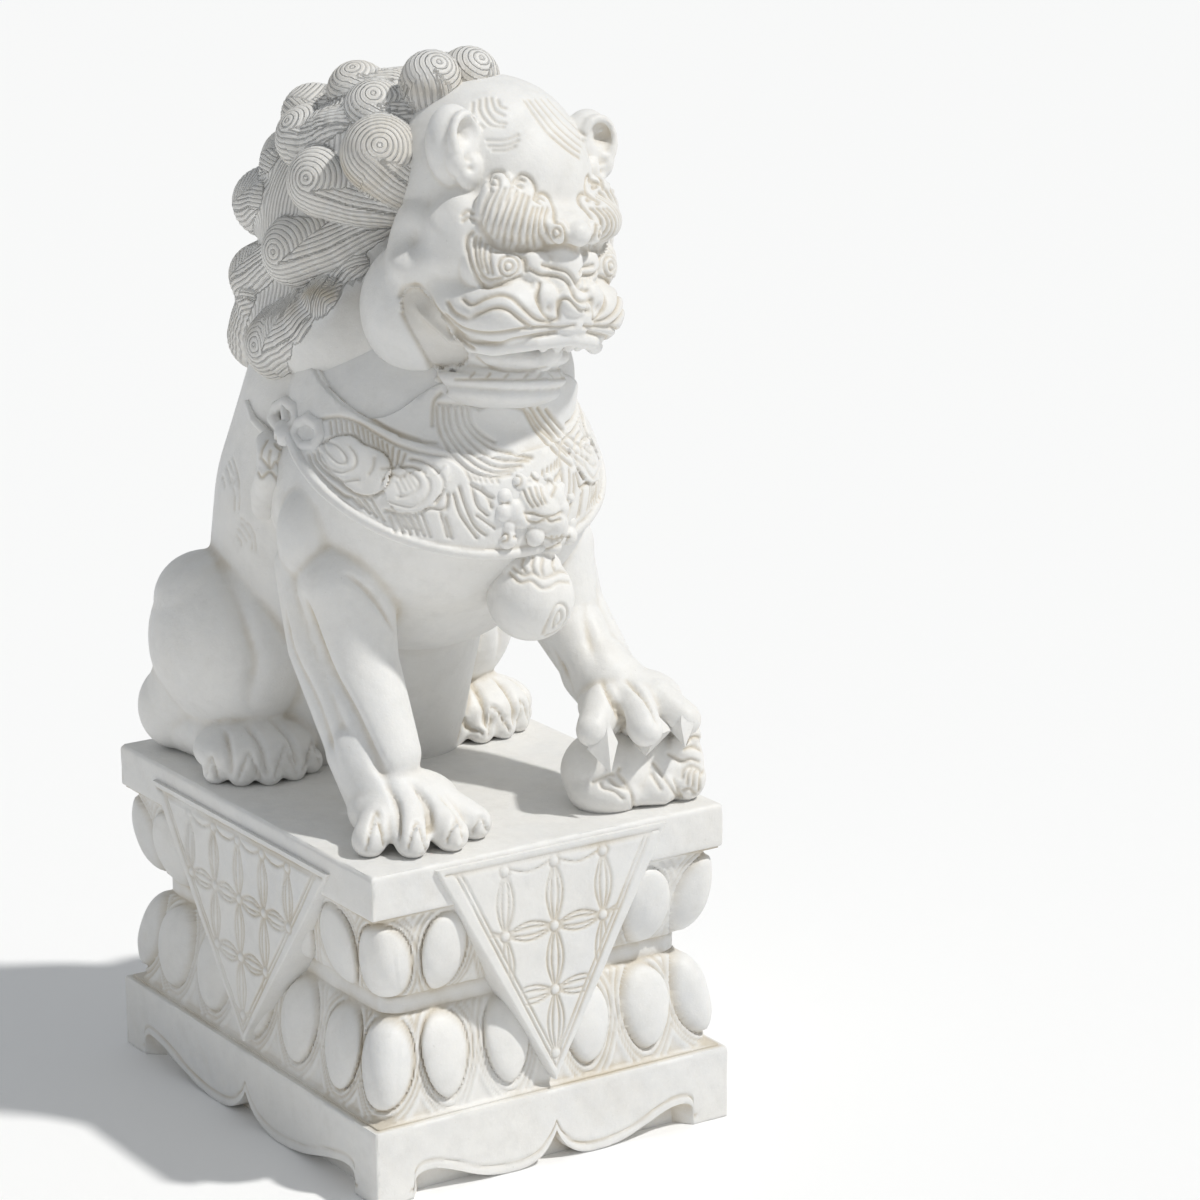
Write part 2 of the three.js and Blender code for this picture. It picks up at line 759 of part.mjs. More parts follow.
function apronSolid(face) {
  const end = face.length / 2 - footLength;
  const lobe = end * 0.28;
  const shape = new THREE.Shape();
  shape.moveTo(-end, -10);
  for (const side of [-1, 1]) {
    const foot = side * end;
    const arch = side * (end - archWidth);
    if (side < 0) {
      shape.lineTo(foot, archRise * 0.5);
      shape.quadraticCurveTo(foot, archRise, arch, archRise * 0.86);
      shape.bezierCurveTo(side * end * 0.62, archRise * 0.5, side * lobe * 2, 0.6, side * lobe, 0.6);
      shape.quadraticCurveTo(side * lobe * 0.3, 0.6, 0, cuspRise);
    } else {
      shape.quadraticCurveTo(side * lobe * 0.3, 0.6, side * lobe, 0.6);
      shape.bezierCurveTo(side * lobe * 2, 0.6, side * end * 0.62, archRise * 0.5, arch, archRise * 0.86);
      shape.quadraticCurveTo(foot, archRise, foot, archRise * 0.5);
    }
  }
  shape.lineTo(end, -10);
  const cut = new THREE.ExtrudeGeometry(shape, {
    depth: apronDepth + 20, bevelEnabled: false, curveSegments: 4,
  });
  cut.rotateX(Math.PI / 2);
  cut.translate(0, -face.away - baseOverhang + apronDepth, 0);
  return toSolid(place(cut, [0, 0, 0], [0, 0, face.turn]));
}

function slabSolid() {
  const shape = new THREE.Shape();
  const x = half.x - slabArris;
  const y = half.y - slabArris;
  shape.moveTo(-x, -y);
  shape.lineTo(x, -y);
  shape.lineTo(x, y);
  shape.lineTo(-x, y);
  const slab = new THREE.ExtrudeGeometry(shape, {
    depth: slabThickness - 2 * slabArris, bevelEnabled: true, bevelSegments: 1,
    bevelSize: slabArris, bevelThickness: slabArris,
  });
  slab.translate(0, 0, slabTop - slabThickness + slabArris);
  return toSolid(slab);
}

function plinthSolid() {
  const z1 = baseHeight;
  const z2 = z1 + lowerPetalHeight;
  const z3 = z2 + waistHeight;
  const z4 = z3 + upperPetalHeight;
  let solid = stack([
    [0, -baseOverhang], [z1 - seamHeight, -baseOverhang], [z1 - seamHeight, 4], [z1, 4],
    [z1 + 6, 14], [z2 - lowerPetalHeight * 0.4, 20], [z2, waistInset], [z3, waistInset],
    [z3 + upperPetalHeight * 0.3, 26], [z4 - 6, 10], [z4, 4], [z4 + seamHeight, 4],
    [z4 + slabThickness / 2, 12],
  ]);
  solid = solid.add(slabSolid());
  for (const petal of [...petalSolids(z1, z2), ...petalSolids(z3, z4)]) {
    solid = solid.add(petal);
  }
  for (const face of faces) {
    solid = solid.add(clothSolid(face));
  }
  for (const face of faces) {
    solid = solid.subtract(apronSolid(face));
  }
  return solid;
}

let statue = plinthSolid().add(lionSolid());
for (const claw of clawSolids()) {
  statue = statue.add(claw);
}

function toGeometry(solid) {
  const mesh = solid.getMesh();
  const geometry = new THREE.BufferGeometry();
  geometry.setAttribute("position", new THREE.BufferAttribute(mesh.vertProperties, 3));
  geometry.setIndex(new THREE.BufferAttribute(mesh.triVerts, 1));
  geometry.computeVertexNormals();
  return geometry;
}

const marble = new THREE.MeshStandardMaterial({ color: 0xe9e7e2, roughness: 0.62, metalness: 0 });
const lion = new THREE.Mesh(toGeometry(statue), marble);
lion.name = "guardian_lion";

const model = new THREE.Group();
model.add(lion);

export default model;
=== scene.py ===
"""Guardian lion of white marble on its carved plinth, dressed for the camera.

The lion is one block of stone. Here its surface is carved finely, tool by tool, over
the forms that the frame holds: body, head, mane, harness, cub, plinth and cloth panels.
Lengths are in millimetres where a name says so, and otherwise in metres.
"""

import logging
import math
from dataclasses import dataclass, field
from enum import Enum

import bpy
import numpy as np
from mathutils import Euler, Matrix, Vector
from mathutils.bvhtree import BVHTree


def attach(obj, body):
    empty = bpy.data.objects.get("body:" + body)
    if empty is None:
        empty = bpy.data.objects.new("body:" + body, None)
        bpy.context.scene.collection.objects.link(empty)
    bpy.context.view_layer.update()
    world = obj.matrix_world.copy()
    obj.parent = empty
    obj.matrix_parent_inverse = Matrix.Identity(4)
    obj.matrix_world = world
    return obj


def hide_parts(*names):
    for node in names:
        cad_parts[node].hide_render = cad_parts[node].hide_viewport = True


log = logging.getLogger("guardian_lion")
logging.basicConfig(level=logging.INFO, format="%(message)s")

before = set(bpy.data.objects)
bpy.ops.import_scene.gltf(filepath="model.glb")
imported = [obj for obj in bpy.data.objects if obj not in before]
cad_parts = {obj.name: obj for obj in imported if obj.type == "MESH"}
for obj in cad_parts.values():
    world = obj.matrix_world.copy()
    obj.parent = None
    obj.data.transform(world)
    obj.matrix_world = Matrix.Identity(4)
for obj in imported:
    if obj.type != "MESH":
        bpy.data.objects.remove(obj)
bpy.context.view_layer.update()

Point = tuple[float, float, float]
Rows = np.ndarray
Socket = bpy.types.NodeSocket

NODE = "guardian_lion"
SLAB_TOP_MM = 460.0
NO_STRAND = 0.25
# Depth of a recess at which its painted shade and grime are darkest.
DEEP_M = 0.0022
CREASE_DEG = 58
LEAP_M = 0.035


class Side(Enum):
    """The two sides of the lion, with the sign that its X coordinates take."""

    NEAR = -1
    FAR = 1


# Mesh helpers


def deselect() -> None:
    """Leaves nothing selected."""
    if bpy.context.object and bpy.context.object.mode != "OBJECT":
        bpy.ops.object.mode_set(mode="OBJECT")
    bpy.ops.object.select_all(action="DESELECT")


def activate(obj: bpy.types.Object) -> None:
    """Selects one object alone and makes it active.

    Args:
        obj: the object.
    """
    deselect()
    obj.select_set(True)
    bpy.context.view_layer.objects.active = obj


def apply_modifier(obj: bpy.types.Object, kind: str, **settings: object) -> None:
    """Adds a modifier to an object, sets it and applies it.

    Args:
        obj: the object to change.
        kind: Blender's name of the modifier.
        settings: the modifier's values.
    """
    activate(obj)
    modifier = obj.modifiers.new(kind.title(), kind)
    for name, value in settings.items():
        setattr(modifier, name, value)
    bpy.ops.object.modifier_apply(modifier=modifier.name)


def join(target: bpy.types.Object, others: list) -> None:
    """Joins objects into one, which keeps its name.

    Args:
        target: the object that stays.
        others: the objects that it takes in.
    """
    activate(target)
    for other in others:
        other.select_set(True)
    bpy.ops.object.join()


def turn_outwards(obj: bpy.types.Object) -> None:
    """Turns all faces of a closed mesh outwards.

    Args:
        obj: the mesh object.
    """
    activate(obj)
    bpy.ops.object.mode_set(mode="EDIT")
    bpy.ops.mesh.select_all(action="SELECT")
    bpy.ops.mesh.normals_make_consistent(inside=False)
    bpy.ops.object.mode_set(mode="OBJECT")


def read_rows(data: object, name: str, count: int) -> Rows:
    """Reads three numbers for each of so many items.

    Args:
        data: the collection that holds them.
        name: the property's name.
        count: how many items there are.

    Returns:
        One row for each item.
    """
    out = np.empty(count * 3, np.float32)
    data.foreach_get(name, out)
    return out.reshape(-1, 3).astype(np.float64)


def coordinates(obj: bpy.types.Object) -> Rows:
    """Returns the vertices of a mesh object, one row each."""
    return read_rows(obj.data.vertices, "co", len(obj.data.vertices))


def normals(obj: bpy.types.Object) -> Rows:
    """Returns the vertex normals of a mesh object, one row each."""
    return read_rows(obj.data.vertex_normals, "vector", len(obj.data.vertices))


def set_coordinates(obj: bpy.types.Object, co: Rows) -> None:
    """Writes the vertices of a mesh object back."""
    obj.data.vertices.foreach_set("co", co.astype(np.float32).ravel())
    obj.data.update()


def write_attribute(obj: bpy.types.Object, name: str, values: Rows) -> None:
    """Stores one number at each vertex.

    Args:
        obj: the mesh object.
        name: the name that the finish reads it by.
        values: the numbers.
    """
    if name in obj.data.attributes:
        obj.data.attributes.remove(obj.data.attributes[name])
    attribute = obj.data.attributes.new(name, "FLOAT", "POINT")
    attribute.data.foreach_set("value", values.astype(np.float32))


def mesh_object(name: str, verts: Rows, faces: list) -> bpy.types.Object:
    """Makes a mesh object.

    Args:
        name: the piece's name.
        verts: one row for each vertex, in metres.
        faces: tuples of vertex numbers, wound outwards.

    Returns:
        The new object.
    """
    mesh = bpy.data.meshes.new(name)
    mesh.from_pydata([tuple(v) for v in verts], [], faces)
    mesh.update()
    obj = bpy.data.objects.new(name, mesh)
    bpy.context.scene.collection.objects.link(obj)
    return obj


def stacked(meshes: list) -> tuple[Rows, list]:
    """Puts meshes together, with their vertices numbered on.

    Args:
        meshes: pairs of vertices and faces.

    Returns:
        All vertices, and all faces.
    """
    verts, faces, count = [], [], 0
    for rows, polygons in meshes:
        verts.append(rows)
        faces += [tuple(n + count for n in polygon) for polygon in polygons]
        count += len(rows)
    return np.vstack(verts), faces


def metres(points: object) -> Rows:
    """Turns points in millimetres above the slab into metres above the floor.

    Args:
        points: one point or many.

    Returns:
        One row for each point.
    """
    out = np.atleast_2d(np.array(points, float)).copy()
    out[:, 2] += SLAB_TOP_MM
    return out / 1000.0


# Roughing out


@dataclass
class Rough:
    """Stone roughed out from balls and limbs, which are then fused into one skin.

    Sizes are in millimetres above the slab's top.
    """

    name: str
    parts: list = field(default_factory=list)

    def __post_init__(self) -> None:
        """Models the one ball and the one limb that all others are copied from."""
        deselect()
        bpy.ops.mesh.primitive_uv_sphere_add(segments=32, ring_count=20, radius=1)
        self.unit_ball = bpy.context.object
        deselect()
        bpy.ops.mesh.primitive_cylinder_add(vertices=28, radius=1, depth=1)
        self.unit_limb = bpy.context.object

    def _copy(self, pattern: bpy.types.Object, co: Rows) -> None:
        """Adds a copy of a pattern with a mesh of its own.

        Args:
            pattern: what is copied.
            co: the copy's vertices.
        """
        obj = pattern.copy()
        obj.data = pattern.data.copy()
        bpy.context.scene.collection.objects.link(obj)
        set_coordinates(obj, metres(co))
        self.parts.append(obj)

    def ball(self, centre: Point, radii: Point, turn: Point = (0, 0, 0)) -> "Rough":
        """Adds a ball or egg.

        Args:
            centre: its centre.
            radii: its radii.
            turn: degrees about X, Y and Z.

        Returns:
            The rough itself, for another part.
        """
        spin = np.array(Euler([math.radians(a) for a in turn], "XYZ").to_matrix())
        co = coordinates(self.unit_ball) * np.array(radii, float)
        self._copy(self.unit_ball, co @ spin.T + np.array(centre, float))
        return self

    def limb(self, start: Point, end: Point, r0: float, r1: float) -> "Rough":
        """Adds a round limb with round ends.

        Args:
            start: the centre of one end.
            end: the centre of the other.
            r0: the radius at the start.
            r1: the radius at the end.

        Returns:
            The rough itself, for another part.
        """
        a, b = np.array(start, float), np.array(end, float)
        axis = (b - a) / np.linalg.norm(b - a)
        across = np.cross(axis, [0.3, 0.2, 0.9])
        across /= np.linalg.norm(across)
        third = np.cross(axis, across)
        co = coordinates(self.unit_limb)
        t = co[:, 2:3] + 0.5
        radius = r0 + (r1 - r0) * t
        flat = co[:, :1] * across + co[:, 1:2] * third
        self._copy(self.unit_limb, a + (b - a) * t + flat * radius)
        return self.ball(tuple(a), (r0, r0, r0)).ball(tuple(b), (r1, r1, r1))

    def chain(self, *stops: tuple) -> "Rough":
        """Adds limbs from stop to stop.

        Args:
            stops: each is x, y, z and a radius.

        Returns:
            The rough itself, for another part.
        """
        for first, second in zip(stops, stops[1:]):
            self.limb(first[:3], second[:3], first[3], second[3])
        return self

    def fuse(self, voxel: float, smooth: int) -> bpy.types.Object:
        """Joins all parts, remeshes them into one skin and rubs the skin smooth.

        Args:
            voxel: the remesh size in metres.
            smooth: how many times the skin is smoothed.

        Returns:
            The fused object.
        """
        obj = self.parts[0]
        join(obj, self.parts[1:])
        obj.name = self.name
        obj.data.name = self.name
        apply_modifier(obj, "REMESH", mode="VOXEL", voxel_size=voxel)
        apply_modifier(obj, "SMOOTH", factor=0.5, iterations=smooth)
        for pattern in (self.unit_ball, self.unit_limb):
            bpy.data.objects.remove(pattern)
        return obj


# Carving tools


def distance_to_path(points: Rows, path: Rows) -> tuple[Rows, Rows]:
    """Measures how far points are from a path.

    Args:
        points: one row for each point.
        path: the path's points in order.

    Returns:
        The distance of each point, and how far along the path its nearest point is.
    """
    best = np.full(len(points), 1e9)
    along = np.zeros(len(points))
    run = 0.0
    for a, b in zip(path, path[1:]):
        d = b - a
        length = float(np.linalg.norm(d)) or 1e-9
        t = np.clip((points - a) @ d / length**2, 0, 1)
        gap = np.linalg.norm(points - (a + t[:, None] * d), axis=1)
        closer = gap < best
        best[closer] = gap[closer]
        along[closer] = run + t[closer] * length
        run += length
    return best, along


def smooth_path(path: Rows, pieces: int = 5) -> Rows:
    """Runs a smooth curve through a path's points.

    Args:
        path: the points.
        pieces: how many pieces each stretch is cut into.

    Returns:
        The curve's points.
    """
    p = np.vstack([2 * path[0] - path[1], path, 2 * path[-1] - path[-2]])
    out = []
    for i in range(1, len(p) - 2):
        for t in np.linspace(0, 1, pieces, endpoint=False):
            out.append(0.5 * (2 * p[i] + (p[i + 1] - p[i - 1]) * t
                              + (2 * p[i - 1] - 5 * p[i] + 4 * p[i + 1] - p[i + 2]) * t**2
                              + (3 * p[i] - p[i - 1] - 3 * p[i + 1] + p[i + 2]) * t**3))
    out.append(p[-2])
    return np.array(out)


class Chisel:
    """Carves a mesh object by moving its vertices along their normals."""

    def __init__(self, obj: bpy.types.Object) -> None:
        """Takes the object's vertices and normals up.

        Args:
            obj: what is carved.
        """
        self.obj = obj
        self.co = coordinates(obj)
        self.n = normals(obj)
        # How strongly each vertex is darkened by grime and painted shade in the grooves.
        self.cut = np.zeros(len(self.co))

    def near(self, path: Rows, reach: float) -> Rows:
        """Returns which vertices lie in the path's box, grown by a reach."""
        low, high = path.min(0) - reach, path.max(0) + reach
        return np.where(((self.co > low) & (self.co < high)).all(axis=1))[0]

    def route(self, route: Rows, width: float, depth: float, fade: float = 0.0) -> None:
        """Cuts a groove along a route, or raises a ridge.

        Args:
            route: its points in metres above the floor.
            width: the groove's half width in millimetres.
            depth: how deep it goes in millimetres, less than nought for a ridge.
            fade: length in millimetres over which the ends run out.
        """
        w, d = width / 1000, depth / 1000
        ids = self.near(route, 3 * w)
        if not len(ids):
            return
        gap, along = distance_to_path(self.co[ids], route)
        shape = np.exp(-((gap / w) ** 2))
        if fade:
            total = np.linalg.norm(np.diff(route, axis=0), axis=1).sum()
            ends = np.minimum(along, total - along) / (fade / 1000)
            shape *= np.clip(ends, 0, 1)
        self.co[ids] -= self.n[ids] * (shape * d)[:, None]
        # Grooves are darkened with grime and painted shade, more the deeper they go.
        if depth > 0:
            self.cut[ids] = np.maximum(self.cut[ids], shape * min(1.0, depth / 2.5))

    def lump(self, centre: Point, radius: float, height: float) -> None:
        """Raises a rounded lump, or sinks a hollow.

        Args:
            centre: its middle, in millimetres above the slab.
            radius: its radius in millimetres.
            height: how high it stands, less than nought for a hollow.
        """
        c = metres(centre)[0]
        r = radius / 1000
        ids = self.near(c[None], 2.2 * r)
        gap = np.linalg.norm(self.co[ids] - c, axis=1) / r
        self.co[ids] += self.n[ids] * (np.exp(-(gap**2.0)) * height / 1000)[:, None]

    def finish(self) -> None:
        """Writes the carved vertices back."""
        set_coordinates(self.obj, self.co)
        self.n = normals(self.obj)


def recess(obj: bpy.types.Object, rounds: int = 12) -> Rows:
    """Measures how far each vertex sits below its smoothed surroundings.

    Args:
        obj: the mesh object.
        rounds: how often the surroundings are smoothed.

    Returns:
        A depth in metres for each vertex.
    """
    count = len(obj.data.vertices)
    pairs = np.empty(len(obj.data.edges) * 2, np.int32)
    obj.data.edges.foreach_get("vertices", pairs)
    a, b = pairs.reshape(-1, 2).T
    degree = np.bincount(a, minlength=count) + np.bincount(b, minlength=count)
    degree = np.maximum(degree, 1)[:, None]
    start = coordinates(obj)
    soft = start.copy()
    for _ in range(rounds):
        total = np.zeros_like(soft)
        for axis in range(3):
            total[:, axis] = (np.bincount(a, soft[b, axis], minlength=count)
                              + np.bincount(b, soft[a, axis], minlength=count))
        soft = 0.5 * soft + 0.5 * total / degree
    return np.einsum("ij,ij->i", soft - start, normals(obj))


# The finish


@dataclass(frozen=True)
class Pattern:
    """A noise over the stone: how fine, how rough, which values show and how much."""

    scale: float
    detail: float
    rough: float
    low: float = 0.0
    high: float = 1.0
    share: float = 1.0


class Graph:
    """A node material in the making."""

    def __init__(self, name: str) -> None:
        """Starts an empty material.

        Args:
            name: the material's name.
        """
        self.material = bpy.data.materials.new(name)
        self.material.use_nodes = True
        self.nodes, self.links = self.material.node_tree.nodes, self.material.node_tree.links
        self.nodes.clear()
        self.where = self.nodes.new("ShaderNodeTexCoord").outputs["Object"]

    def add(self, kind: str, result: object, inputs: dict, **settings: object) -> Socket:
        """Adds a node.

        Args:
            kind: the node's type.
            result: the name or number of the output that is wanted.
            inputs: a value or a socket for each input.
            settings: the node's own settings.

        Returns:
            The output.
        """
        node = self.nodes.new(f"ShaderNode{kind}")
        for name, value in settings.items():
            setattr(node, name, value)
        for name, value in inputs.items():
            if isinstance(value, Socket):
                self.links.new(value, node.inputs[name])
            else:
                node.inputs[name].default_value = value
        return node.outputs[result]

    def noise(self, pattern: Pattern) -> Socket:
        """Returns a pattern's noise."""
        return self.add("TexNoise", "Fac", {"Vector": self.where, "Scale": pattern.scale,
                                            "Detail": pattern.detail, "Roughness": pattern.rough})

    def ramp(self, source: Socket, low: float, high: float) -> Socket:
        """Spreads a value between two limits to the range from nought to one."""
        return self.add("MapRange", "Result", {"Value": source, "From Min": low, "From Max": high})

    def times(self, first: Socket, second: object) -> Socket:
        """Multiplies two values."""
        return self.add("Math", 0, {0: first, 1: second}, operation="MULTIPLY")

    def plus(self, first: Socket, second: Socket) -> Socket:
        """Adds two values, kept within nought and one."""
        return self.add("Math", 0, {0: first, 1: second}, operation="ADD", use_clamp=True)

    def blend(self, share: Socket, first: object, second: object) -> Socket:
        """Mixes two colours by a share."""
        return self.add("Mix", 2, {"Factor": share, 6: first, 7: second}, data_type="RGBA")

    def shown(self, pattern: Pattern) -> Socket:
        """Returns how much a pattern shows, from nought to its share."""
        return self.times(self.ramp(self.noise(pattern), pattern.low, pattern.high), pattern.share)

    def attribute(self, name: str) -> Socket:
        """Reads a number stored at the vertices."""
        return self.add("Attribute", "Fac", {}, attribute_name=name)

    def bump(self, height: Socket, strength: float, distance: float, **under: Socket) -> Socket:
        """Bends the normal by a height, over another normal if there is one."""
        return self.add("Bump", "Normal", {"Strength": strength, "Distance": distance,
                                           "Height": height, **under})


@dataclass(frozen=True)
class Marble:
    """White marble: fine grain with painted glints, faint veins, and a warm tint in grooves and recesses
    that is partly grime and partly painted shade.
    """

    name: str = "white_marble"
    body: tuple = (0.80, 0.79, 0.765, 1)
    cool: tuple = (0.70, 0.715, 0.735, 1)
    dull: tuple = (0.69, 0.68, 0.655, 1)
    # Tint of the grime and painted shade laid in grooves and recesses.
    grime_and_shade_tint: tuple = (0.52, 0.44, 0.31, 1)
    # Pale colour of painted glints on the crystal grains.
    painted_glint: tuple = (0.95, 0.95, 0.94, 1)
    dark: tuple = (0.5, 0.48, 0.44, 1)
    paler: float = 1.06
    # How strongly grime and painted shade darken grooves and recesses.
    grime_and_shade_amount: float = 0.72
    in_cuts: float = 0.9
    in_patches: float = 0.1
    polish: tuple = (0.4, 0.64)
    clouds: Pattern = Pattern(3.2, 4, 0.6, 0.42, 0.68, 0.55)
    mottle: Pattern = Pattern(38, 5, 0.7, 0.35, 0.75, 0.6)
    film: Pattern = Pattern(24, 6, 0.68, 0.5, 0.7, 0.42)
    patches: Pattern = Pattern(7.5, 5, 0.6, 0.5, 0.72)
    drift: Pattern = Pattern(5.0, 3, 0.5, 0.3, 0.6)
    specks: Pattern = Pattern(625, 2, 0.4, 0.66, 0.72, 0.35)
    pits: Pattern = Pattern(260, 3, 0.6, 0.69, 0.75, 0.4)
    sheen: Pattern = Pattern(60, 4, 0.6)
    grain: Pattern = Pattern(420, 3, 0.6)
    dressing: Pattern = Pattern(34, 4, 0.55)
    grain_bump: tuple = (0.25, 0.0008)
    dressing_bump: tuple = (0.45, 0.004)
    strand_bump: tuple = (0.8, 0.0034)
    strand_edge: float = 0.24

    def colour(self, graph: Graph) -> Socket:
        """Builds the colour.

        Args:
            graph: the material in the making.

        Returns:
            The colour's socket.
        """
        light = tuple(min(1.0, c * self.paler) for c in self.body[:3]) + (1,)
        colour = graph.blend(graph.shown(self.clouds), self.body, self.cool)
        colour = graph.blend(graph.shown(self.mottle), colour, light)
        colour = graph.blend(graph.shown(self.film), colour, self.dull)
        patches = graph.shown(self.patches)
        # Grooves and recesses get grime and painted shade, and the noise patches add random grime.
        grime_and_shade_mask = graph.plus(graph.times(graph.attribute("cut"), self.in_cuts),
                          graph.times(patches, self.in_patches))
        spread = graph.plus(graph.shown(self.drift), graph.times(patches, 0.6))
        colour = graph.blend(graph.times(graph.times(grime_and_shade_mask, self.grime_and_shade_amount), spread), colour, self.grime_and_shade_tint)
        # Pale specks paint the glints of the crystal grains.
        colour = graph.blend(graph.shown(self.specks), colour, self.painted_glint)
        return graph.blend(graph.shown(self.pits), colour, self.dark)

    def surface(self, graph: Graph) -> Socket:
        """Builds the tooled surface.

        Args:
            graph: the material in the making.

        Returns:
            The normal's socket.
        """
        fine = graph.bump(graph.noise(self.grain), *self.grain_bump)
        dressed = graph.bump(graph.noise(self.dressing), *self.dressing_bump, Normal=fine)
        strands = graph.add("Math", 0, {0: graph.attribute("strand"), 1: 0.5}, operation="PINGPONG")
        height = graph.ramp(strands, 0.0, self.strand_edge)
        return graph.bump(height, *self.strand_bump, Normal=dressed)

    def material(self) -> bpy.types.Material:
        """Builds the node material.

        Returns:
            The material.
        """
        graph = Graph(self.name)
        low, high = self.polish
        roughness = graph.add("MapRange", "Result", {"Value": graph.noise(self.sheen), "To Min": low,
                                                     "To Max": high})
        shader = graph.add("BsdfPrincipled", "BSDF", {
            "Base Color": self.colour(graph), "Roughness": roughness, "Normal": self.surface(graph),
            "IOR": 1.5, "Specular IOR Level": 0.42, "Subsurface Weight": 0.1,
            "Subsurface Radius": (1.0, 0.9, 0.75), "Subsurface Scale": 0.006,
        })
        out = graph.nodes.new("ShaderNodeOutputMaterial")
        graph.links.new(shader, out.inputs["Surface"])
        return graph.material


def dress(obj: bpy.types.Object, marble: bpy.types.Material, cut: Rows | None = None,
          strand: Rows | None = None, keep: float = 1.0) -> None:
    """Finishes a piece: its grime and painted shade, strands, finish, body and slot.

    Args:
        obj: the piece.
        marble: its material.
        cut: how strongly grime and painted shade darken each vertex, from nought to one.
        strand: a count of strands across each lock, or none.
        keep: the share of triangles to keep, flat parts being thinned first.
    """
    # Recesses are darkened with painted shade and grime, more the deeper they sit below their surroundings.
    deep = np.clip(recess(obj) / DEEP_M, 0, 1)
    count = len(obj.data.vertices)
    write_attribute(obj, "cut", np.maximum(deep, 0 if cut is None else cut))
    write_attribute(obj, "strand", np.full(count, NO_STRAND) if strand is None else strand)
    obj.data.materials.clear()
    obj.data.materials.append(marble)
    if keep < 1:
        apply_modifier(obj, "DECIMATE", ratio=keep)
    activate(obj)
    bpy.ops.object.shade_smooth_by_angle(angle=math.radians(CREASE_DEG))
    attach(obj, "root")
    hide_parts(NODE)
    faces = sum(len(p.vertices) - 2 for p in obj.data.polygons)
    log.info("%s: %d triangles", obj.name, faces)


# Drawn lines

# Lines that a carver would draw on the stone, as they are seen from the camera's place, in
# pixels of a picture 1200 wide: column, row, column, row and so on. Each lands on the stone
# that it meets.
BROW_STRANDS = (
    (492.6, 191.1, 487.4, 199.5, 483.2, 210, 479.6, 221.6),
    (498.9, 187.3, 492.6, 201.6, 487.4, 216.3, 484.2, 230),
    (505.3, 188.9, 498.9, 203.7, 493.7, 220.5, 490.5, 235.3),
    (511.6, 188.9, 506.3, 203.7, 500, 222.6, 496.8, 239.5),
    (517.9, 191.1, 511.6, 207.9, 506.3, 224.7, 503.2, 243.7),
    (523.2, 193.2, 517.9, 210, 512.6, 228.9, 510.5, 246.8),
    (528.8, 195.3, 524.2, 212.1, 520, 231.1, 518.9, 247.9),
    (533.9, 207.1, 529.5, 220.5, 527.4, 235.3, 527.4, 247.9),
    (538.5, 207.9, 534.7, 224.7, 533.7, 237.4, 535.8, 247.9),
    (543.6, 207.1, 540, 222.6, 540, 235.3, 545.3, 246.2),
    (548.6, 207.9, 545.3, 220.5, 546.7, 233.2, 552.6, 243.3, 561.1, 245.4),
)
BROW_OUTLINE = (
    (479.6, 221.6, 483.2, 203.7, 489.5, 190, 488, 180.5, 492.6, 172.5, 503.2, 171.7, 510.5, 179.5, 513.7,
     187.3),
    (513.7, 182.6, 521.1, 174.6, 530.5, 178.4, 536.4, 190, 534.7, 198.4),
    (534.7, 199.5, 540, 192.7, 548.4, 196.3, 554.1, 208.9, 554.7, 221.6),
    (554.7, 221.6, 563.2, 224.7, 566.3, 235.3, 564.2, 245.8),
    (495.8, 184.3, 490.5, 182.6, 492.2, 176.7, 497.9, 178.4, 498.9, 184.7),
    (521.1, 186.8, 516.8, 184.3, 518.9, 179.5, 524.2, 180.5),
    (540, 202.6, 536.4, 200.5, 538.9, 196.9, 543.6, 199.5),
    (560, 230.6, 556.2, 227.9, 552, 231.5, 554.7, 237.4, 560.4, 236.3, 561.1, 231.5),
)
BROW_FOOT = (
    (477.9, 222.6, 484.2, 233.2, 496.8, 246.2, 517.9, 249.4, 543.2, 248.3, 564.2, 246.2, 585.3, 252.1),
)
EYE_LIDS = (
    (472.6, 232.1, 466.9, 239.5, 468.4, 256.3, 474.1, 272.1, 483.8, 286.2, 501.1, 284.1, 521.1, 276.9),
    (476.2, 237.4, 474.1, 250, 478.3, 267.9, 487.4, 280.5, 501.1, 279.1),
    (495.8, 251.1, 513.7, 251.7, 523.8, 259.5, 525.9, 271.1),
)
EYE_CORNER = (
    (481.1, 238.4, 478.9, 252.1, 482.5, 268.9), (486.3, 242.6, 483.8, 256.3, 488, 273.2),
    (491.8, 246.8, 489.5, 258.4, 492.6, 273.6),
)
EYE_RINGS = (
    (504.6, 266, 506, 262.6, 509.4, 261.4, 512.8, 263, 513.8, 266.4, 512.2, 269.8, 508.8, 271, 505.6,
     269.4, 504.6, 266),
    (498.4, 266.4, 500.4, 259.6, 506.2, 255.6, 513.2, 256.4, 518.6, 261.2, 519.4, 268.2, 515.6, 274.2,
     508.8, 276.8, 502, 274, 498.4, 266.4),
)
WHISKERS = (
    (463.2, 299.5, 471.6, 304.7, 484.2, 298.4, 498.9, 294.2, 511.6, 297.4, 524.2, 308.9, 536.8, 319.5,
     549.9, 323.3),
    (447.4, 302.6, 454.7, 313.2, 467.4, 318.4, 480, 313.2, 494.7, 307.9, 507.4, 310, 520, 319.5, 530.9,
     327.5),
)
LIP_LINES = (
    (445.3, 315.3, 461.1, 327.9, 480, 333.2, 498.9, 333.2, 517.9, 330, 536.8, 327.9, 560, 327.9, 574.7,
     325.8),
    (455.2, 328.9, 469.5, 340.1, 484.2, 343.1, 501.1, 343.7, 513.7, 339.5, 534.7, 335.9, 555.8, 332.5),
)
LIP_NOTCHES = (
    (455, 379.5, 489.6, 379.2, 526, 379.4, 548, 377.6), (470, 377, 474, 372.4), (486, 378, 490, 373.2),
    (504, 378, 508, 373.6), (524, 378, 528, 373.4), (538, 377, 542, 372.6),
    (476.6, 357, 486, 365, 504, 370.4, 530, 370.4, 546, 367.4),
)
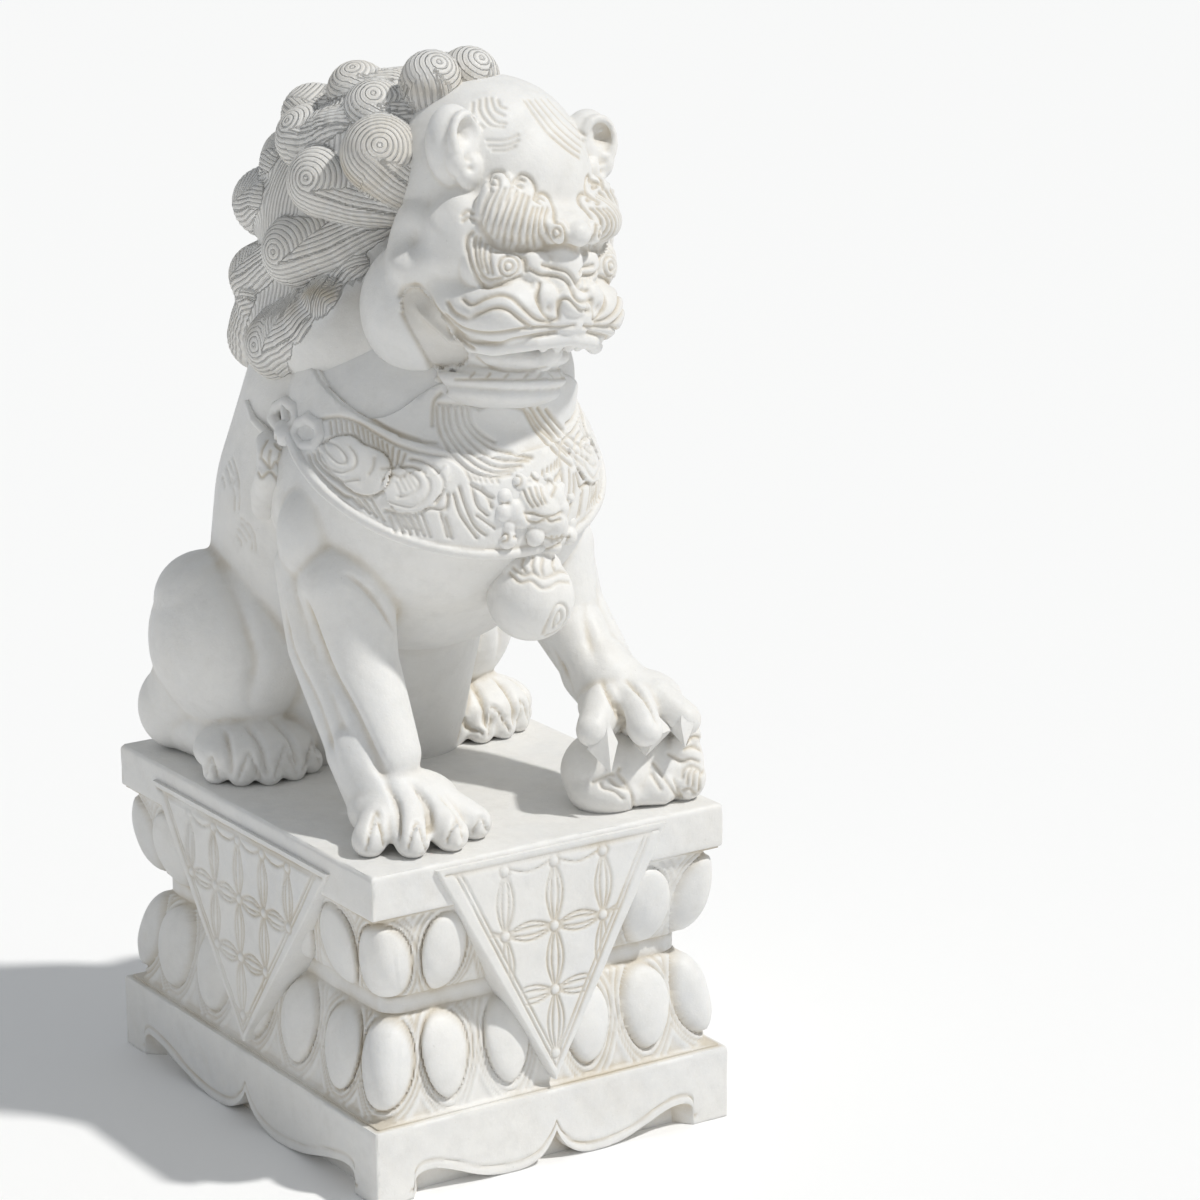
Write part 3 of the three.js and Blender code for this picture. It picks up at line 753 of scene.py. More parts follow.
NOSTRIL = (
    (538.9, 282.6, 536.8, 297.4, 543.2, 312.1, 551.2, 319.9, 558.3, 318.4, 557.9, 307.9, 560, 299.5,
     567.4, 298.4, 574.7, 305.2, 581.5, 311.1, 590.5, 310.6),
    (528.4, 268.9, 541.1, 275.3, 556.2, 276.5, 568.4, 283.3, 574.3, 296.3, 581.5, 302.2, 590.5, 300.5),
    (543.2, 265.2, 556.2, 268.9, 568.4, 273.2, 577.3, 284.7, 581.1, 290.4, 585.7, 290),
)
CHEEK_WRINKLES = (
    (462.1, 214.6, 466.9, 210.4, 472.6, 213.2), (462.7, 220.9, 468.4, 217.4, 474.1, 220.1),
)
MOUTH_FOLD = (
    (400, 295.3, 404.6, 286.8, 414.7, 284.7, 425.7, 292.1, 434.7, 307.9, 449.5, 324.1, 463.2, 340.5,
     472.6, 349.4),
)
MOUTH_FOLD_INNER = (
    (407.4, 297.4, 415.8, 293.8, 423.6, 300.1, 433.7, 317.4, 446.3, 334.2, 460, 345.8),
    (401.7, 313.2, 412.6, 334.2, 425.3, 355.7, 436.2, 376.7, 445.9, 391.1),
)
FOREHEAD_SPIRAL = (
    (490.9, 98, 494.7, 110, 503.6, 115.3), (485.3, 98.4, 486.7, 110, 495.8, 121.6, 505.3, 123.3),
    (478.9, 100.1, 479.6, 112.1, 489.5, 124.7, 503.2, 126.8), (472.6, 102.6, 472.6, 115.3, 483.2, 127.9),
    (497.3, 99.5, 500, 105.8, 505.3, 107.9), (486.7, 140.5, 503.2, 140.1, 517.9, 134.6),
    (488.4, 146.4, 504.2, 145.8, 517.9, 140.5), (492.6, 150.6, 505.3, 150.2, 514.7, 146.4),
    (524.2, 100.1, 545.3, 130, 566.3, 148.9, 579.4, 157.8),
    (529.5, 100.1, 550.5, 126.8, 568.4, 143.7, 580.2, 152.1),
    (535.8, 99.7, 555.4, 123.7, 571.6, 138.8, 581.5, 146.4),
    (542.1, 99.7, 560.4, 120.5, 574.7, 134.2, 583.2, 140.9),
    (548.4, 99.7, 565.3, 117.8, 577.9, 130, 585.7, 135.9),
)
# The slack skin at the corner of the mouth, which lies deeper and is darkened with painted shade.
MOUTH_CORNER = (
    400, 302, 405, 291, 415, 288, 425, 294, 436, 312, 450, 331, 462, 345, 468, 356, 464, 365, 450, 368,
     434, 368, 425, 356, 412, 334, 402, 314,
)
# Bulges and hollows of the cheek: pixel, then radius and height in millimetres.
CHEEK_LUMPS = (
    (412, 206, 30, 10), (407, 238, 24, -19), (401, 266, 26, 11), (434, 226, 22, 7),
    (438, 262, 24, 7), (425, 292, 20, -5), (470, 316, 10, 3),
)
BAND_CLOUD_NEAR = (
    (321.1, 443.5, 327.2, 439.6, 339.4, 435, 353.2, 435, 364, 443.5, 374.7, 447.3, 385.4, 453.4, 391.5,
     465.7, 388.5, 482.5, 379.3, 493.2, 367, 496.3, 354.8, 493.2, 342.5, 484, 330.3, 471.8, 321.1, 461.1,
     318, 450.4),
    (324.1, 441.2, 336.4, 445, 345.6, 454.9, 346.3, 462.9, 337.9, 462.3, 327.2, 451.9, 323.8, 443.5),
    (350.2, 446.5, 356.3, 456.5, 354.8, 467.2, 342.5, 472.6, 330.3, 467.2, 321.4, 453.4),
    (358.6, 479.8, 342.5, 481, 327.2, 473.3, 315.7, 461.4, 313.4, 453.7),
    (374.7, 458, 373.4, 467.2, 369.3, 474.1),
    (308.1, 454.9, 311.9, 465.7, 325.7, 481, 342.5, 494.8, 348.6, 497.1),
)
BAND_CLOUD_FRONT = (
    (383.9, 480, 392.9, 474.6, 400, 477.3, 408.9, 472.9, 417.9, 480, 417.9, 488.9, 407.1, 496.1, 398.2,
     497),
    (382.1, 469.3, 400, 467.1, 412.5, 466.6, 423.2, 472.9, 429.5, 483.6, 426.8, 496.1, 414.3, 506.8, 400,
     505, 389.3, 501.4),
    (410.7, 458.6, 421.4, 460.4, 433.9, 467.5, 442.9, 480, 442.9, 490.7, 435.7, 503.2),
    (447.9, 494.3, 445.5, 508.9, 430.4, 508.6, 417.9, 512.1, 400, 514.3, 385.7, 510.4),
)
BAND_TOP_NEAR = (
    (328.7, 386, 351.7, 404.4, 373.1, 419.7, 396.1, 432, 419.1, 439.6),
    (321.1, 419, 339.4, 417, 357.8, 422.8, 376.2, 433.5, 396.1, 444.2, 419.1, 451.9),
)
BAND_TOP_FRONT = (
    (400, 435.4, 417.9, 440.7, 435.7, 442.5),
    (400, 446.1, 414.3, 450.5, 432.1, 454.1, 448.2, 456.8, 462.5, 465.7, 470.5, 480),
)
BAND_HATCH_NEAR = (
    (329.5, 421.3, 331, 433.5), (334.9, 419.7, 336.4, 433.5), (340.2, 419, 341.7, 433.8),
    (345.6, 419, 346.8, 434.3), (350.9, 420.5, 352.9, 435), (356.3, 423.6, 358.6, 437.3),
    (361.7, 426.6, 364, 440.4), (366.7, 430.4, 368.2, 443.5), (371.6, 433.5, 373.4, 446.1),
    (376.5, 436.6, 378.3, 448.4), (381.6, 440.4, 382.9, 450.7), (386.6, 443.9, 387.7, 453.7),
    (392.7, 446.5, 391.5, 460.3), (398.9, 450.4, 396.4, 464.9), (405, 453.4, 401, 464.9),
    (350.2, 496.3, 360.9, 507), (356.6, 498.6, 369.3, 513.1), (364, 499.7, 376.5, 517),
    (370.8, 498.6, 383.9, 520.8), (377.4, 497.5, 391.5, 525.1), (384.2, 498.6, 398.4, 526.9),
    (391.5, 507, 405.6, 528.5), (400.7, 514.7, 411.4, 529.2), (409.9, 517, 417.9, 530.3),
)
BAND_HATCH_FRONT = (
    (400, 480, 405.4, 490.7), (404.5, 477.3, 410.7, 488.9), (408.9, 476.4, 415.2, 487.1),
    (396.4, 483.6, 400.9, 494.3), (389.3, 515.7, 394.6, 531.8), (396.4, 516.6, 402.7, 532.7),
    (402.7, 516.6, 409.8, 533.6), (408.9, 514.8, 417, 534.5), (415.2, 513.9, 424.1, 535.4),
    (421.4, 513, 430.4, 536.2), (428.6, 512.1, 436.6, 536.8), (434.8, 512.1, 442, 537.1),
    (440.2, 513, 447.3, 537.1), (445.5, 517.5, 451.8, 538), (453.6, 492.5, 478.6, 538),
    (458, 489.8, 483.9, 537.1), (462.5, 485.4, 476.8, 515.7), (476.8, 515.7, 494.6, 528.2),
    (471.4, 485.4, 492.9, 521.1), (471.4, 485.4, 492.9, 498.8), (471.4, 472.9, 475.9, 480),
    (476.8, 474.6, 480.4, 480.9), (483, 476.4, 485.7, 481.4), (489.3, 477.3, 492, 481.8),
    (496.4, 478.2, 498.2, 482.1),
)
BAND_MIDDLE = (
    (453.6, 494.3, 458.9, 512.1, 467.9, 526.4, 476.8, 538),
    (458.9, 487.1, 466.1, 508.6, 475, 526.4, 485.7, 535.4), (471.4, 484.5, 476.8, 505, 487.5, 515.7),
    (471.4, 484.5, 492.9, 498), (482, 489, 488, 498, 492, 508),
)
BEARD = (
    (530, 406.7, 543.2, 426.5, 563, 446.2, 582.7, 466),
    (538.3, 408.4, 551.4, 426.5, 569.5, 446.2, 587.6, 461),
    (546.5, 410, 559.7, 426.5, 576.1, 441.3, 590.9, 454.4), (524, 409, 536, 430, 553, 449, 572, 466),
    (436.6, 406.8, 439.3, 430, 451.8, 453.2, 471.4, 471.1, 492.9, 477.3, 510.7, 473.8),
    (442.9, 405.9, 445.5, 428.2, 458.9, 449.6, 476.8, 465.7, 496.4, 472.9, 514.3, 469.3),
    (448.2, 406.8, 451.8, 428.2, 464.3, 446.1, 482.1, 460.4, 500, 467.5, 521.4, 465.7),
    (455.4, 406.8, 458.9, 426.4, 471.4, 442.5, 487.5, 455, 505.4, 460.4, 528.6, 460.4),
    (461.6, 406.8, 465.2, 422.9, 476.8, 437.1, 492.9, 447.9, 510.7, 453.2, 532.1, 457.7),
    (467.9, 408.6, 470.5, 421.1, 481.2, 433.6, 494.6, 441.6),
)
CHEST_OVAL = (
    (478.6, 408.2, 492.9, 404.1, 510.7, 405.9, 526.8, 412.1, 539.3, 428.2, 553.6, 440.7, 567.9, 455),
)
COLLAR = (
    (438.4, 403.2, 471.4, 405.4, 480.4, 407.1), (432.1, 424.6, 433.9, 401.4, 441.1, 392.9),
)
KNOT_LINES = (
    (275.1, 436.6, 277, 445.8, 287.4, 452.2, 292.7, 450.4),
    (262.1, 459.5, 270.5, 468, 277, 462.3, 285.8, 475.2),
    (257.5, 472.6, 261.3, 477.9, 270.5, 471.5, 280.5, 482.5, 287.4, 477.2),
    (267.5, 439.6, 262.1, 448.8, 260.1, 458), (270.5, 450.4, 268.7, 459.5, 269.3, 465.7),
    (280.5, 453.4, 279, 461.1, 277.4, 464.1), (285.8, 454.9, 285.1, 464.1, 286.2, 473.3),
    (254.5, 481, 250.6, 509.3), (260.1, 481.7, 256.4, 512.8), (265.9, 481.7, 262.9, 513.9),
    (272.1, 482.5, 269.3, 513.1), (278.2, 487.1, 274.4, 508.5),
)
MASK_LINES = (
    (523.2, 490.7, 527.1, 499.6, 533, 507.7), (528.9, 488.6, 532.5, 497.9, 537.9, 506.4),
    (535.4, 487.1, 537.9, 496.1, 542.5, 504.6), (541.4, 487.5, 543.2, 496.1, 546.8, 503.2),
    (525, 513, 533, 513.6, 542.9, 516.6, 553.6, 516.1, 561.6, 512.1),
    (525.9, 513.9, 528.9, 521.1, 536.6, 522.9, 543.8, 520.2), (546.4, 518.4, 551.8, 522, 560.7, 519.3),
    (514.3, 537.1, 523.2, 535.4, 528.6, 546.1, 542.9, 550, 557.1, 545.2, 568.8, 537.1),
    (545.5, 538, 553.6, 540.4, 565.2, 537.1), (551.4, 537.1, 552.1, 541.6), (557.1, 536.8, 557.9, 541.1),
    (562.1, 535.7, 563.2, 539.8), (500, 503.2, 508.9, 503.2), (497.3, 522.9, 510.7, 522.9),
    (500, 537.1, 503.6, 533.6, 508, 535.4, 507.1, 540.7, 502.7, 541.6),
    (509.3, 480, 514.3, 475.5, 521.4, 477.3, 520.5, 485.4, 514.3, 486.8),
    (528.6, 472.9, 535.7, 480, 548.2, 482.7), (548.2, 480, 555.4, 485.4, 551.8, 496.1),
)
BELL_LINES = (
    (509.3, 572.9, 519.6, 582.1, 530.7, 580.4, 541.1, 588, 550, 587.1, 558.9, 581.8, 569.6, 582.1),
    (512.9, 567.9, 523.2, 575, 532.5, 572.9, 542, 577.5, 551.8, 575, 560.7, 571.1, 568.8, 572.9),
    (523.2, 558.6, 521.8, 565.7, 525, 571.4), (533, 557.1, 531.8, 565.7, 533.6, 571.4),
    (542.9, 558.6, 541.4, 567.5, 542.9, 574.6), (553.9, 558.6, 553.2, 565.7, 555.7, 571.4),
    (561.6, 560, 562.9, 565.7, 566.4, 570.7),
    (542.9, 634.5, 549.1, 619.3, 557.1, 605.4, 565.2, 605.4, 567.9, 613.9, 563.4, 624.6, 555.4, 631.8,
     546.4, 635.7),
    (553.9, 627.3, 555, 619.3, 560.4, 611.2, 562.1, 618.4, 558, 625),
)
# Clouds of the band that stand out from their ground.
CLOUD_SHAPES = (
    BAND_CLOUD_NEAR[0],
    (398.2, 463.6, 409.8, 472.5, 420.1, 469.8, 433, 477, 447.9, 465.2, 447, 484, 436, 500, 418.6, 513,
     399, 512, 386, 500, 384, 480, 390, 469),
)
# Balls of the mask: pixel, then radius and how far it stands off, in millimetres.
MASK_BALLS = (
    (540, 512, 34, -6), (530, 498, 26, -3), (548, 500, 26, -3), (548, 526, 26, 2), (512, 510, 20, -3),
    (536, 510, 22, 4), (548, 520, 18, 12), (529, 533, 14, 12), (545, 540, 15, 12), (562, 533, 13, 10),
    (552, 507, 16, 10), (533, 500, 15, 10), (516, 482, 13, 3), (530, 479, 11, 4), (544, 480, 10, 4),
    (556, 488, 10, 4), (567, 497, 9, 2), (502, 496, 13, 2), (501, 511, 14, 3), (505, 537, 15, 4),
    (506, 525, 12, 2), (519, 518, 14, 5), (567, 522, 10, 4),
)
# Rings, knot, tails and tassel of the bow, written as the balls of the mask are.
BOW_CHAINS = (
    ((284, 431, 8, 5), (277, 419, 9, 6), (281, 408, 9, 7), (291, 403, 9, 7), (300, 409, 9, 6),
     (301, 420, 8, 5), (294, 430, 8, 5)),
    ((298, 437, 8, 5), (303, 425, 9, 6), (313, 420, 9, 7), (323, 426, 9, 7), (325, 437, 9, 6),
     (318, 447, 9, 5), (306, 447, 8, 5), (299, 438, 8, 5)),
    ((290, 432, 14, 9), (291, 438, 15, 10)),
    ((248, 402, 4, 2), (256, 420, 6, 3), (270, 434, 7, 4)),
    ((321, 393, 4, 2), (315, 411, 6, 3), (310, 417, 7, 4)),
    ((272, 444, 17, 6), (276, 456, 22, 5), (273, 470, 20, 3)),
    ((273, 474, 21, 3), (268, 492, 23, 1), (264, 507, 19, -2)),
)
CUB_LINES = (
    (619.6, 768.5, 618.2, 773.9, 625.5, 783, 631.8, 793.9, 633.9, 808.5),
    (592.5, 782.4, 608.5, 775.2, 613.3, 774.3), (600, 783.6, 602.7, 788.1, 614.5, 791.8, 623.3, 798.8),
    (609.9, 779.4, 617, 785.5, 627.9, 789.3), (653.3, 763.6, 665.5, 779.4, 679, 799),
    (652.1, 774.5, 656.4, 781.8, 661.2, 789.3), (674.5, 779.4, 678.2, 789.1, 681.2, 799),
    (682.2, 777.6, 683.6, 769.9, 690.9, 766.1, 699.4, 768.7, 702.1, 774.5),
    (687, 784.2, 688.5, 773.9, 692.1, 768.7), (693.1, 786.7, 694.3, 774.5, 697, 770.3),
    (699.4, 790.9, 700.6, 777, 704, 771.2), (705.2, 795.8, 706.9, 780.6, 707.6, 771.2),
    (683.4, 790.9, 689.7, 789.3, 697.2, 796.4),
    (686.1, 743, 690.9, 738.4, 698.2, 737, 705.5, 743, 708.1, 749.1),
    (684.8, 749.7, 693.3, 746.7, 703, 751.5, 706.9, 757),
    (669.1, 753.9, 681.2, 761.2, 690.9, 759.4, 699.4, 761.8),
)
FLANK_HAIR = (
    (232.3, 458, 236.1, 470.3, 238.1, 482.5), (228.9, 461.8, 232.3, 471.8, 234.1, 482.5),
    (225.8, 467.2, 228.4, 474.9, 229.8, 482.5), (221.8, 476.4, 223.7, 481, 224.3, 487.1),
    (239.9, 518.5, 249.1, 525.4, 254.5, 537.6, 254.9, 551.4),
    (239.6, 523.1, 246, 530, 250.3, 539.2, 251.4, 549.9), (237.2, 528.5, 242.7, 534.6, 246, 542.2),
    (236.1, 536.1, 239.6, 539.9, 241.4, 545.3), (235.3, 470.3, 238.4, 485.6, 238.4, 510.1),
    (230.7, 476.4, 233.8, 494.8, 234.5, 511.6),
)
# Folds of the limbs, each with its half width and depth in millimetres.
LIMB_FOLDS = (
    ((303, 592, 312, 623, 331, 674, 352, 712, 375, 758, 393, 790), 9, 11),
    ((277, 516, 280, 546, 291, 562, 306, 569, 331, 561, 339, 536, 334, 511, 319, 490), 4.5, 3.6),
    ((339, 572, 360, 584, 385, 613, 398, 643, 405, 687, 413, 750), 6, 5),
    ((283, 600, 292, 650, 318, 706, 338, 770), 8, 5),
    ((385, 781, 397, 804, 398, 830, 397, 856), 5, 8),
    ((408, 779, 426, 802, 430, 822, 427, 849), 5, 8),
    ((436, 792, 452, 808, 463, 824, 465, 842), 5, 7),
    ((600, 678, 613, 701, 623, 724, 620, 738), 5, 9),
    ((624, 678, 645, 697, 657, 719, 656, 731), 5, 9),
    ((548, 640, 560, 664, 572, 690, 574, 716), 8, 5),
    ((585, 600, 590, 640, 598, 668), 9, 6),
)
THIGH_FOLDS = (
    ((214, 557, 232, 590, 244, 625, 254, 659, 250, 690, 246, 712), 13, 8),
    ((224, 728, 229, 751, 231, 779), 5, 8),
    ((245, 723, 260, 743, 265, 766, 269, 785), 5, 8),
    ((269, 717, 288, 735, 296, 753, 298, 777), 5, 8),
)
# Claws cut flat on the toes: the outline from end to end, then the ridge along its middle.
NEAR_NAILS = (
    (366, 850, 371, 828, 376, 812, 381, 828, 386, 852), (376, 818, 376, 852),
    (407, 851, 412, 834, 417, 821, 422, 834, 427, 850), (417, 827, 417, 853),
    (446, 842, 452, 829, 458, 818, 461, 829, 465, 840), (457, 823, 457, 845),
    (472, 833, 477, 824, 482, 817, 485, 824, 488, 831),
)
HIND_NAILS = (
    (203, 782, 207, 768, 210, 756, 214, 767, 219, 780), (210, 762, 211, 784),
    (238, 779, 244, 765, 249, 752, 254, 765, 260, 780), (249, 758, 249, 784),
    (276, 777, 281, 760, 286, 745, 291, 760, 297, 776), (286, 751, 286, 780),
    (304, 770, 309, 755, 313, 742, 317, 754, 322, 766),
)
# Great claws of the far paw: apex, left and right ends of the base and tip, then the ridge.
FAR_CLAWS = (
    ((606, 717), (587, 749), (618, 742), (611, 773), 9),
    ((651, 708), (628, 737), (657, 735), (652, 757), 14),
    ((682, 701), (668, 728), (695, 722), (687, 747), 14),
)


@dataclass
class Sight:
    """The view from the camera's place, which turns drawn lines into lines on stone."""

    setting: "Setting"
    obj: bpy.types.Object

    def __post_init__(self) -> None:
        """Readies the object for rays."""
        verts = [tuple(v) for v in coordinates(self.obj)]
        polygons = [tuple(p.vertices) for p in self.obj.data.polygons]
        self.tree = BVHTree.FromPolygons(verts, polygons)

    def ray(self, px: float, py: float) -> Vector:
        """Works out which way one looks through a pixel.

        Args:
            px: the pixel's column.
            py: its row.

        Returns:
            The direction from the camera's place.
        """
        view = self.setting
        half = view.frame_px / 2
        right, up = Vector(view.right), Vector(view.up)
        back = right.cross(up).normalized()
        ray = right * (px - half) / view.focal_px - up * (py - half) / view.focal_px - back
        return ray.normalized()

    def hit(self, px: float, py: float) -> Rows | None:
        """Returns the point of the stone that is seen at a pixel, or none."""
        place = self.tree.ray_cast(Vector(self.setting.camera_at), self.ray(px, py))[0]
        return None if place is None else np.array(place)

    def within(self, co: Rows, outline: tuple) -> Rows:
        """Finds which points are seen inside an outline.

        Args:
            co: the points in metres.
            outline: its pixels.

        Returns:
            True or false for each point.
        """
        view = self.setting
        right, up = np.array(view.right), np.array(view.up)
        away = co - np.array(view.camera_at)
        depth = -away @ np.cross(right, up)
        x = view.frame_px / 2 + view.focal_px * (away @ right) / depth
        y = view.frame_px / 2 - view.focal_px * (away @ up) / depth
        edge = smooth_path(np.array(outline, float).reshape(-1, 2), 4)
        inside = np.zeros(len(co), bool)
        for (ax, ay), (bx, by) in zip(edge, np.roll(edge, -1, axis=0)):
            crosses = (ay > y) != (by > y)
            inside ^= crosses & (x < (bx - ax) * (y - ay) / ((by - ay) or 1e-9) + ax)
        return inside

    def line(self, drawn: tuple) -> Rows | None:
        """Lays a drawn line on the stone.

        Args:
            drawn: its pixels.

        Returns:
            The line in metres as far as it runs unbroken, or none where it misses.
        """
        fine = np.array(drawn, float).reshape(-1, 2)
        if len(fine) > 2:
            fine = smooth_path(fine, 4)
        kept = [h for h in (self.hit(x, y) for x, y in fine) if h is not None]
        path = kept[:1]
        for point in kept[1:]:
            if np.linalg.norm(point - path[-1]) < LEAP_M:
                path.append(point)
        return np.array(path) if len(path) > 1 else None

    def nearest(self, points: Rows) -> Rows:
        """Returns the nearest points of the stone."""
        return np.array([self.tree.find_nearest(Vector(p))[0] for p in points])


def flipped(points: Rows) -> Rows:
    """Returns points on the lion's other side."""
    return points * np.array([-1.0, 1.0, 1.0])


def carve_lines(chisel: Chisel, sight: Sight, drawn: tuple, width: float, depth: float,
                both: bool = False) -> None:
    """Cuts drawn lines where they land on the stone.

    Args:
        chisel: what cuts them.
        sight: the view of the stone.
        drawn: the lines.
        width: their half width in millimetres.
        depth: their depth in millimetres, less than nought for ridges.
        both: whether the lion's other side has them too.
    """
    for path in map(sight.line, drawn):
        if path is not None:
            chisel.route(path, width, depth)
            if both:
                chisel.route(sight.nearest(flipped(path)), width, depth)


# The body


@dataclass
class Body:
    """Trunk, legs and paws, with the plain neck that the harness lies on."""

    setting: "Setting"
    voxel: float = 0.0044
    rubs: int = 6
    trunk_voxel: float = 0.008
    trunk_rubs: int = 60
    hair: tuple = (2.6, 2.4)
    nail_width: float = 2.7
    nail_edge: float = 5.0
    nail_ridge: float = -3.4
    crease: tuple = (2.2, 1.6, 30)
    fold_fade: float = 5
    claw_root_mm: float = 14

    def trunk(self) -> bpy.types.Object:
        """Roughs out the trunk, which is rubbed far smoother than the legs.

        Returns:
            The trunk.
        """
        rough = Rough("trunk")
        rough.chain((0, 206, 20, 140), (0, 196, 230, 192), (0, 152, 370, 198), (0, 92, 520, 182))
        rough.limb((54, 142, -10), (40, 120, 190), 92, 130)
        rough.ball((0, -60, 436), (225, 236, 188)).ball((0, -10, 320), (180, 180, 130))
        rough.ball((0, 120, 180), (120, 110, 140))
        rough.limb((42, -150, 590), (0, -60, 520), 118, 190)
        return rough.fuse(self.trunk_voxel, self.trunk_rubs)

    def build(self) -> bpy.types.Object:
        """Builds the body.

        Returns:
            The body with its claws.
        """
        trunk = self.trunk()
        rough = Rough("lion_body")
        rough.parts.append(trunk)
        self.hind_legs(rough)
        self.forelegs(rough)
        obj = rough.fuse(self.voxel, self.rubs)
        chisel = Chisel(obj)
        self.carve(chisel)
        chisel.finish()
        self.add_claws(obj)
        return obj

    def hind_legs(self, rough: Rough) -> None:
        """Adds the folded hind legs.

        Args:
            rough: what they are added to.
        """
        for side in (-1, 1):
            rough.ball((side * 170, 214, 170), (108, 138, 128), (0, 0, side * -6))
            rough.ball((side * 190, 236, 226), (76, 94, 74))
            rough.ball((side * 214, 300, 62), (58, 56, 64))
            rough.limb((side * 194, 256, 116), (side * 211, 294, 70), 72, 58)
            rough.limb((side * 205, 285, 40), (side * 190, 160, 42), 44, 46)
            rough.ball((side * 182, 134, 38), (88, 78, 42))
            self.paw(rough, (side * 172, 154, 22), -side * 14, 104, 5, 37, 16)

    def forelegs(self, rough: Rough) -> None:
        """Adds the near foreleg on the slab and the far one on the cub.

        Args:
            rough: what they are added to.
        """
        for side in (-1, 1):
            rough.ball((side * 205, -82, 392), (42, 48, 68))
        rough.chain((-196, -62, 345, 46), (-200, -92, 240, 42), (-186, -160, 110, 38))
        rough.chain((-172, -120, 330, 66), (-168, -150, 224, 52), (-160, -206, 110, 44))
        rough.chain((-180, -170, 110, 50), (-166, -210, 52, 56))
        rough.chain((190, -70, 345, 50), (196, -110, 240, 44), (196, -190, 170, 42))
        rough.chain((160, -110, 330, 62), (160, -138, 240, 50), (176, -210, 160, 42))
        rough.ball((-150, -226, 40), (80, 66, 50))
        self.paw(rough, (-149, -214, 26), 6, 96, 4, 45, 16)
        rough.chain((176, -200, 170, 50), (196, -246, 130, 52))
        rough.ball((198, -252, 132), (78, 60, 46))
        self.paw(rough, (190, -232, 124), 12, 80, 3, 45, 18)

    def paw(self, rough: Rough, heel: Point, ahead: float, spread: float, toes: int,
            size: float, rise: float) -> None:
        """Adds a row of knuckled toes along an arc.

        Args:
            rough: what the toes are added to.
            heel: the arc's centre.
            ahead: where the middle toe points, in degrees from -Y towards -X.
            spread: the angle from the first toe to the last.
            toes: how many there are.
            size: how wide a toe is, in millimetres.
            rise: how far the knuckle stands above the heel.
        """
        x, y, z = heel
        for i in range(toes):
            a = math.radians(ahead + spread * (i / (toes - 1) - 0.5))
            ox, oy = -math.sin(a), -math.cos(a)
            knuckle = (x + ox * size * 1.3, y + oy * size * 1.3, z + rise)
            tip = (x + ox * size * 2.3, y + oy * size * 2.3, z - rise * 0.3)
            rough.limb(knuckle, tip, size * 0.64, size * 0.54)

    def carve(self, chisel: Chisel) -> None:
        """Cuts the short hair of the flanks, the flat nails and the folds of the limbs.

        Args:
            chisel: what cuts them.
        """
        sight = Sight(self.setting, chisel.obj)
        carve_lines(chisel, sight, FLANK_HAIR, *self.hair, both=True)
        for group, both in ((NEAR_NAILS, False), (HIND_NAILS, True)):
            for drawn in group:
                ridge = len(drawn) == 4
                carve_lines(chisel, sight, (drawn,), self.nail_width,
                            self.nail_ridge if ridge else self.nail_edge, both)
        for group, both in ((LIMB_FOLDS, False), (THIGH_FOLDS, True)):
            for drawn, width, depth in group:
                path = sight.line(drawn)
                if path is None:
                    continue
                for route in (path, sight.nearest(flipped(path))) if both else (path,):
                    chisel.route(route, width, depth, self.fold_fade * width)
                    chisel.route(route, *self.crease)

    def claw(self, sight: "Sight", corners: tuple, ridge: float) -> tuple[Rows, list]:
        """Models one claw, a pyramid with a ridge along its back.

        Args:
            sight: the view of the paw.
            corners: pixels of the apex, the base's two ends and the tip.
            ridge: how far the ridge stands out, in millimetres.

        Returns:
            Vertices in metres, and faces.
        """
        eye = np.array(self.setting.camera_at)
        spots = [sight.hit(*corners[0])]
        away = np.linalg.norm(spots[0] - eye)
        for corner in corners[1:]:
            spot = sight.hit(*corner)
            if spot is None or abs(np.linalg.norm(spot - eye) - away) > 0.05:
                spot = eye + np.array(sight.ray(*corner)) * away
            spots.append(spot)
        apex, left, right, tip = spots
        normal = np.cross(right - left, apex - left)
        normal /= np.linalg.norm(normal)
        if normal @ (eye - apex) < 0:
            normal = -normal
        out = normal * ridge / 1000
        middle = apex + (tip - apex) * 0.5 + out * 1.3
        tip = tip + out * 0.7
        inner = (apex + left + right) / 3 - out * 2 - normal * self.claw_root_mm / 1000
        verts = np.array([apex, left, right, tip, middle, inner])
        verts[:, 2] = np.maximum(verts[:, 2], (SLAB_TOP_MM - 1) / 1000)
        return verts, [(0, 1, 4), (0, 4, 2), (1, 3, 4), (4, 3, 2),
                       (0, 5, 1), (0, 2, 5), (1, 5, 3), (2, 3, 5)]

    def add_claws(self, obj: bpy.types.Object) -> None:
        """Joins the great claws to the body.

        Args:
            obj: the body.
        """
        sight = Sight(self.setting, obj)
        claws = mesh_object("claws", *stacked([self.claw(sight, c[:4], c[4]) for c in FAR_CLAWS]))
        turn_outwards(claws)
        join(obj, [claws])


# The mane


@dataclass(frozen=True)
class Curl:
    """One curl of the mane: where its tip is and how its tail flows.

    Angles are in degrees, lengths in millimetres. The azimuth runs from the front
    round the lion's right side, and the flow is 0 towards the face and 90 upwards.
    """

    azimuth: float
    z: float
    size: float
    reach: float
    flow: float
    tail: float


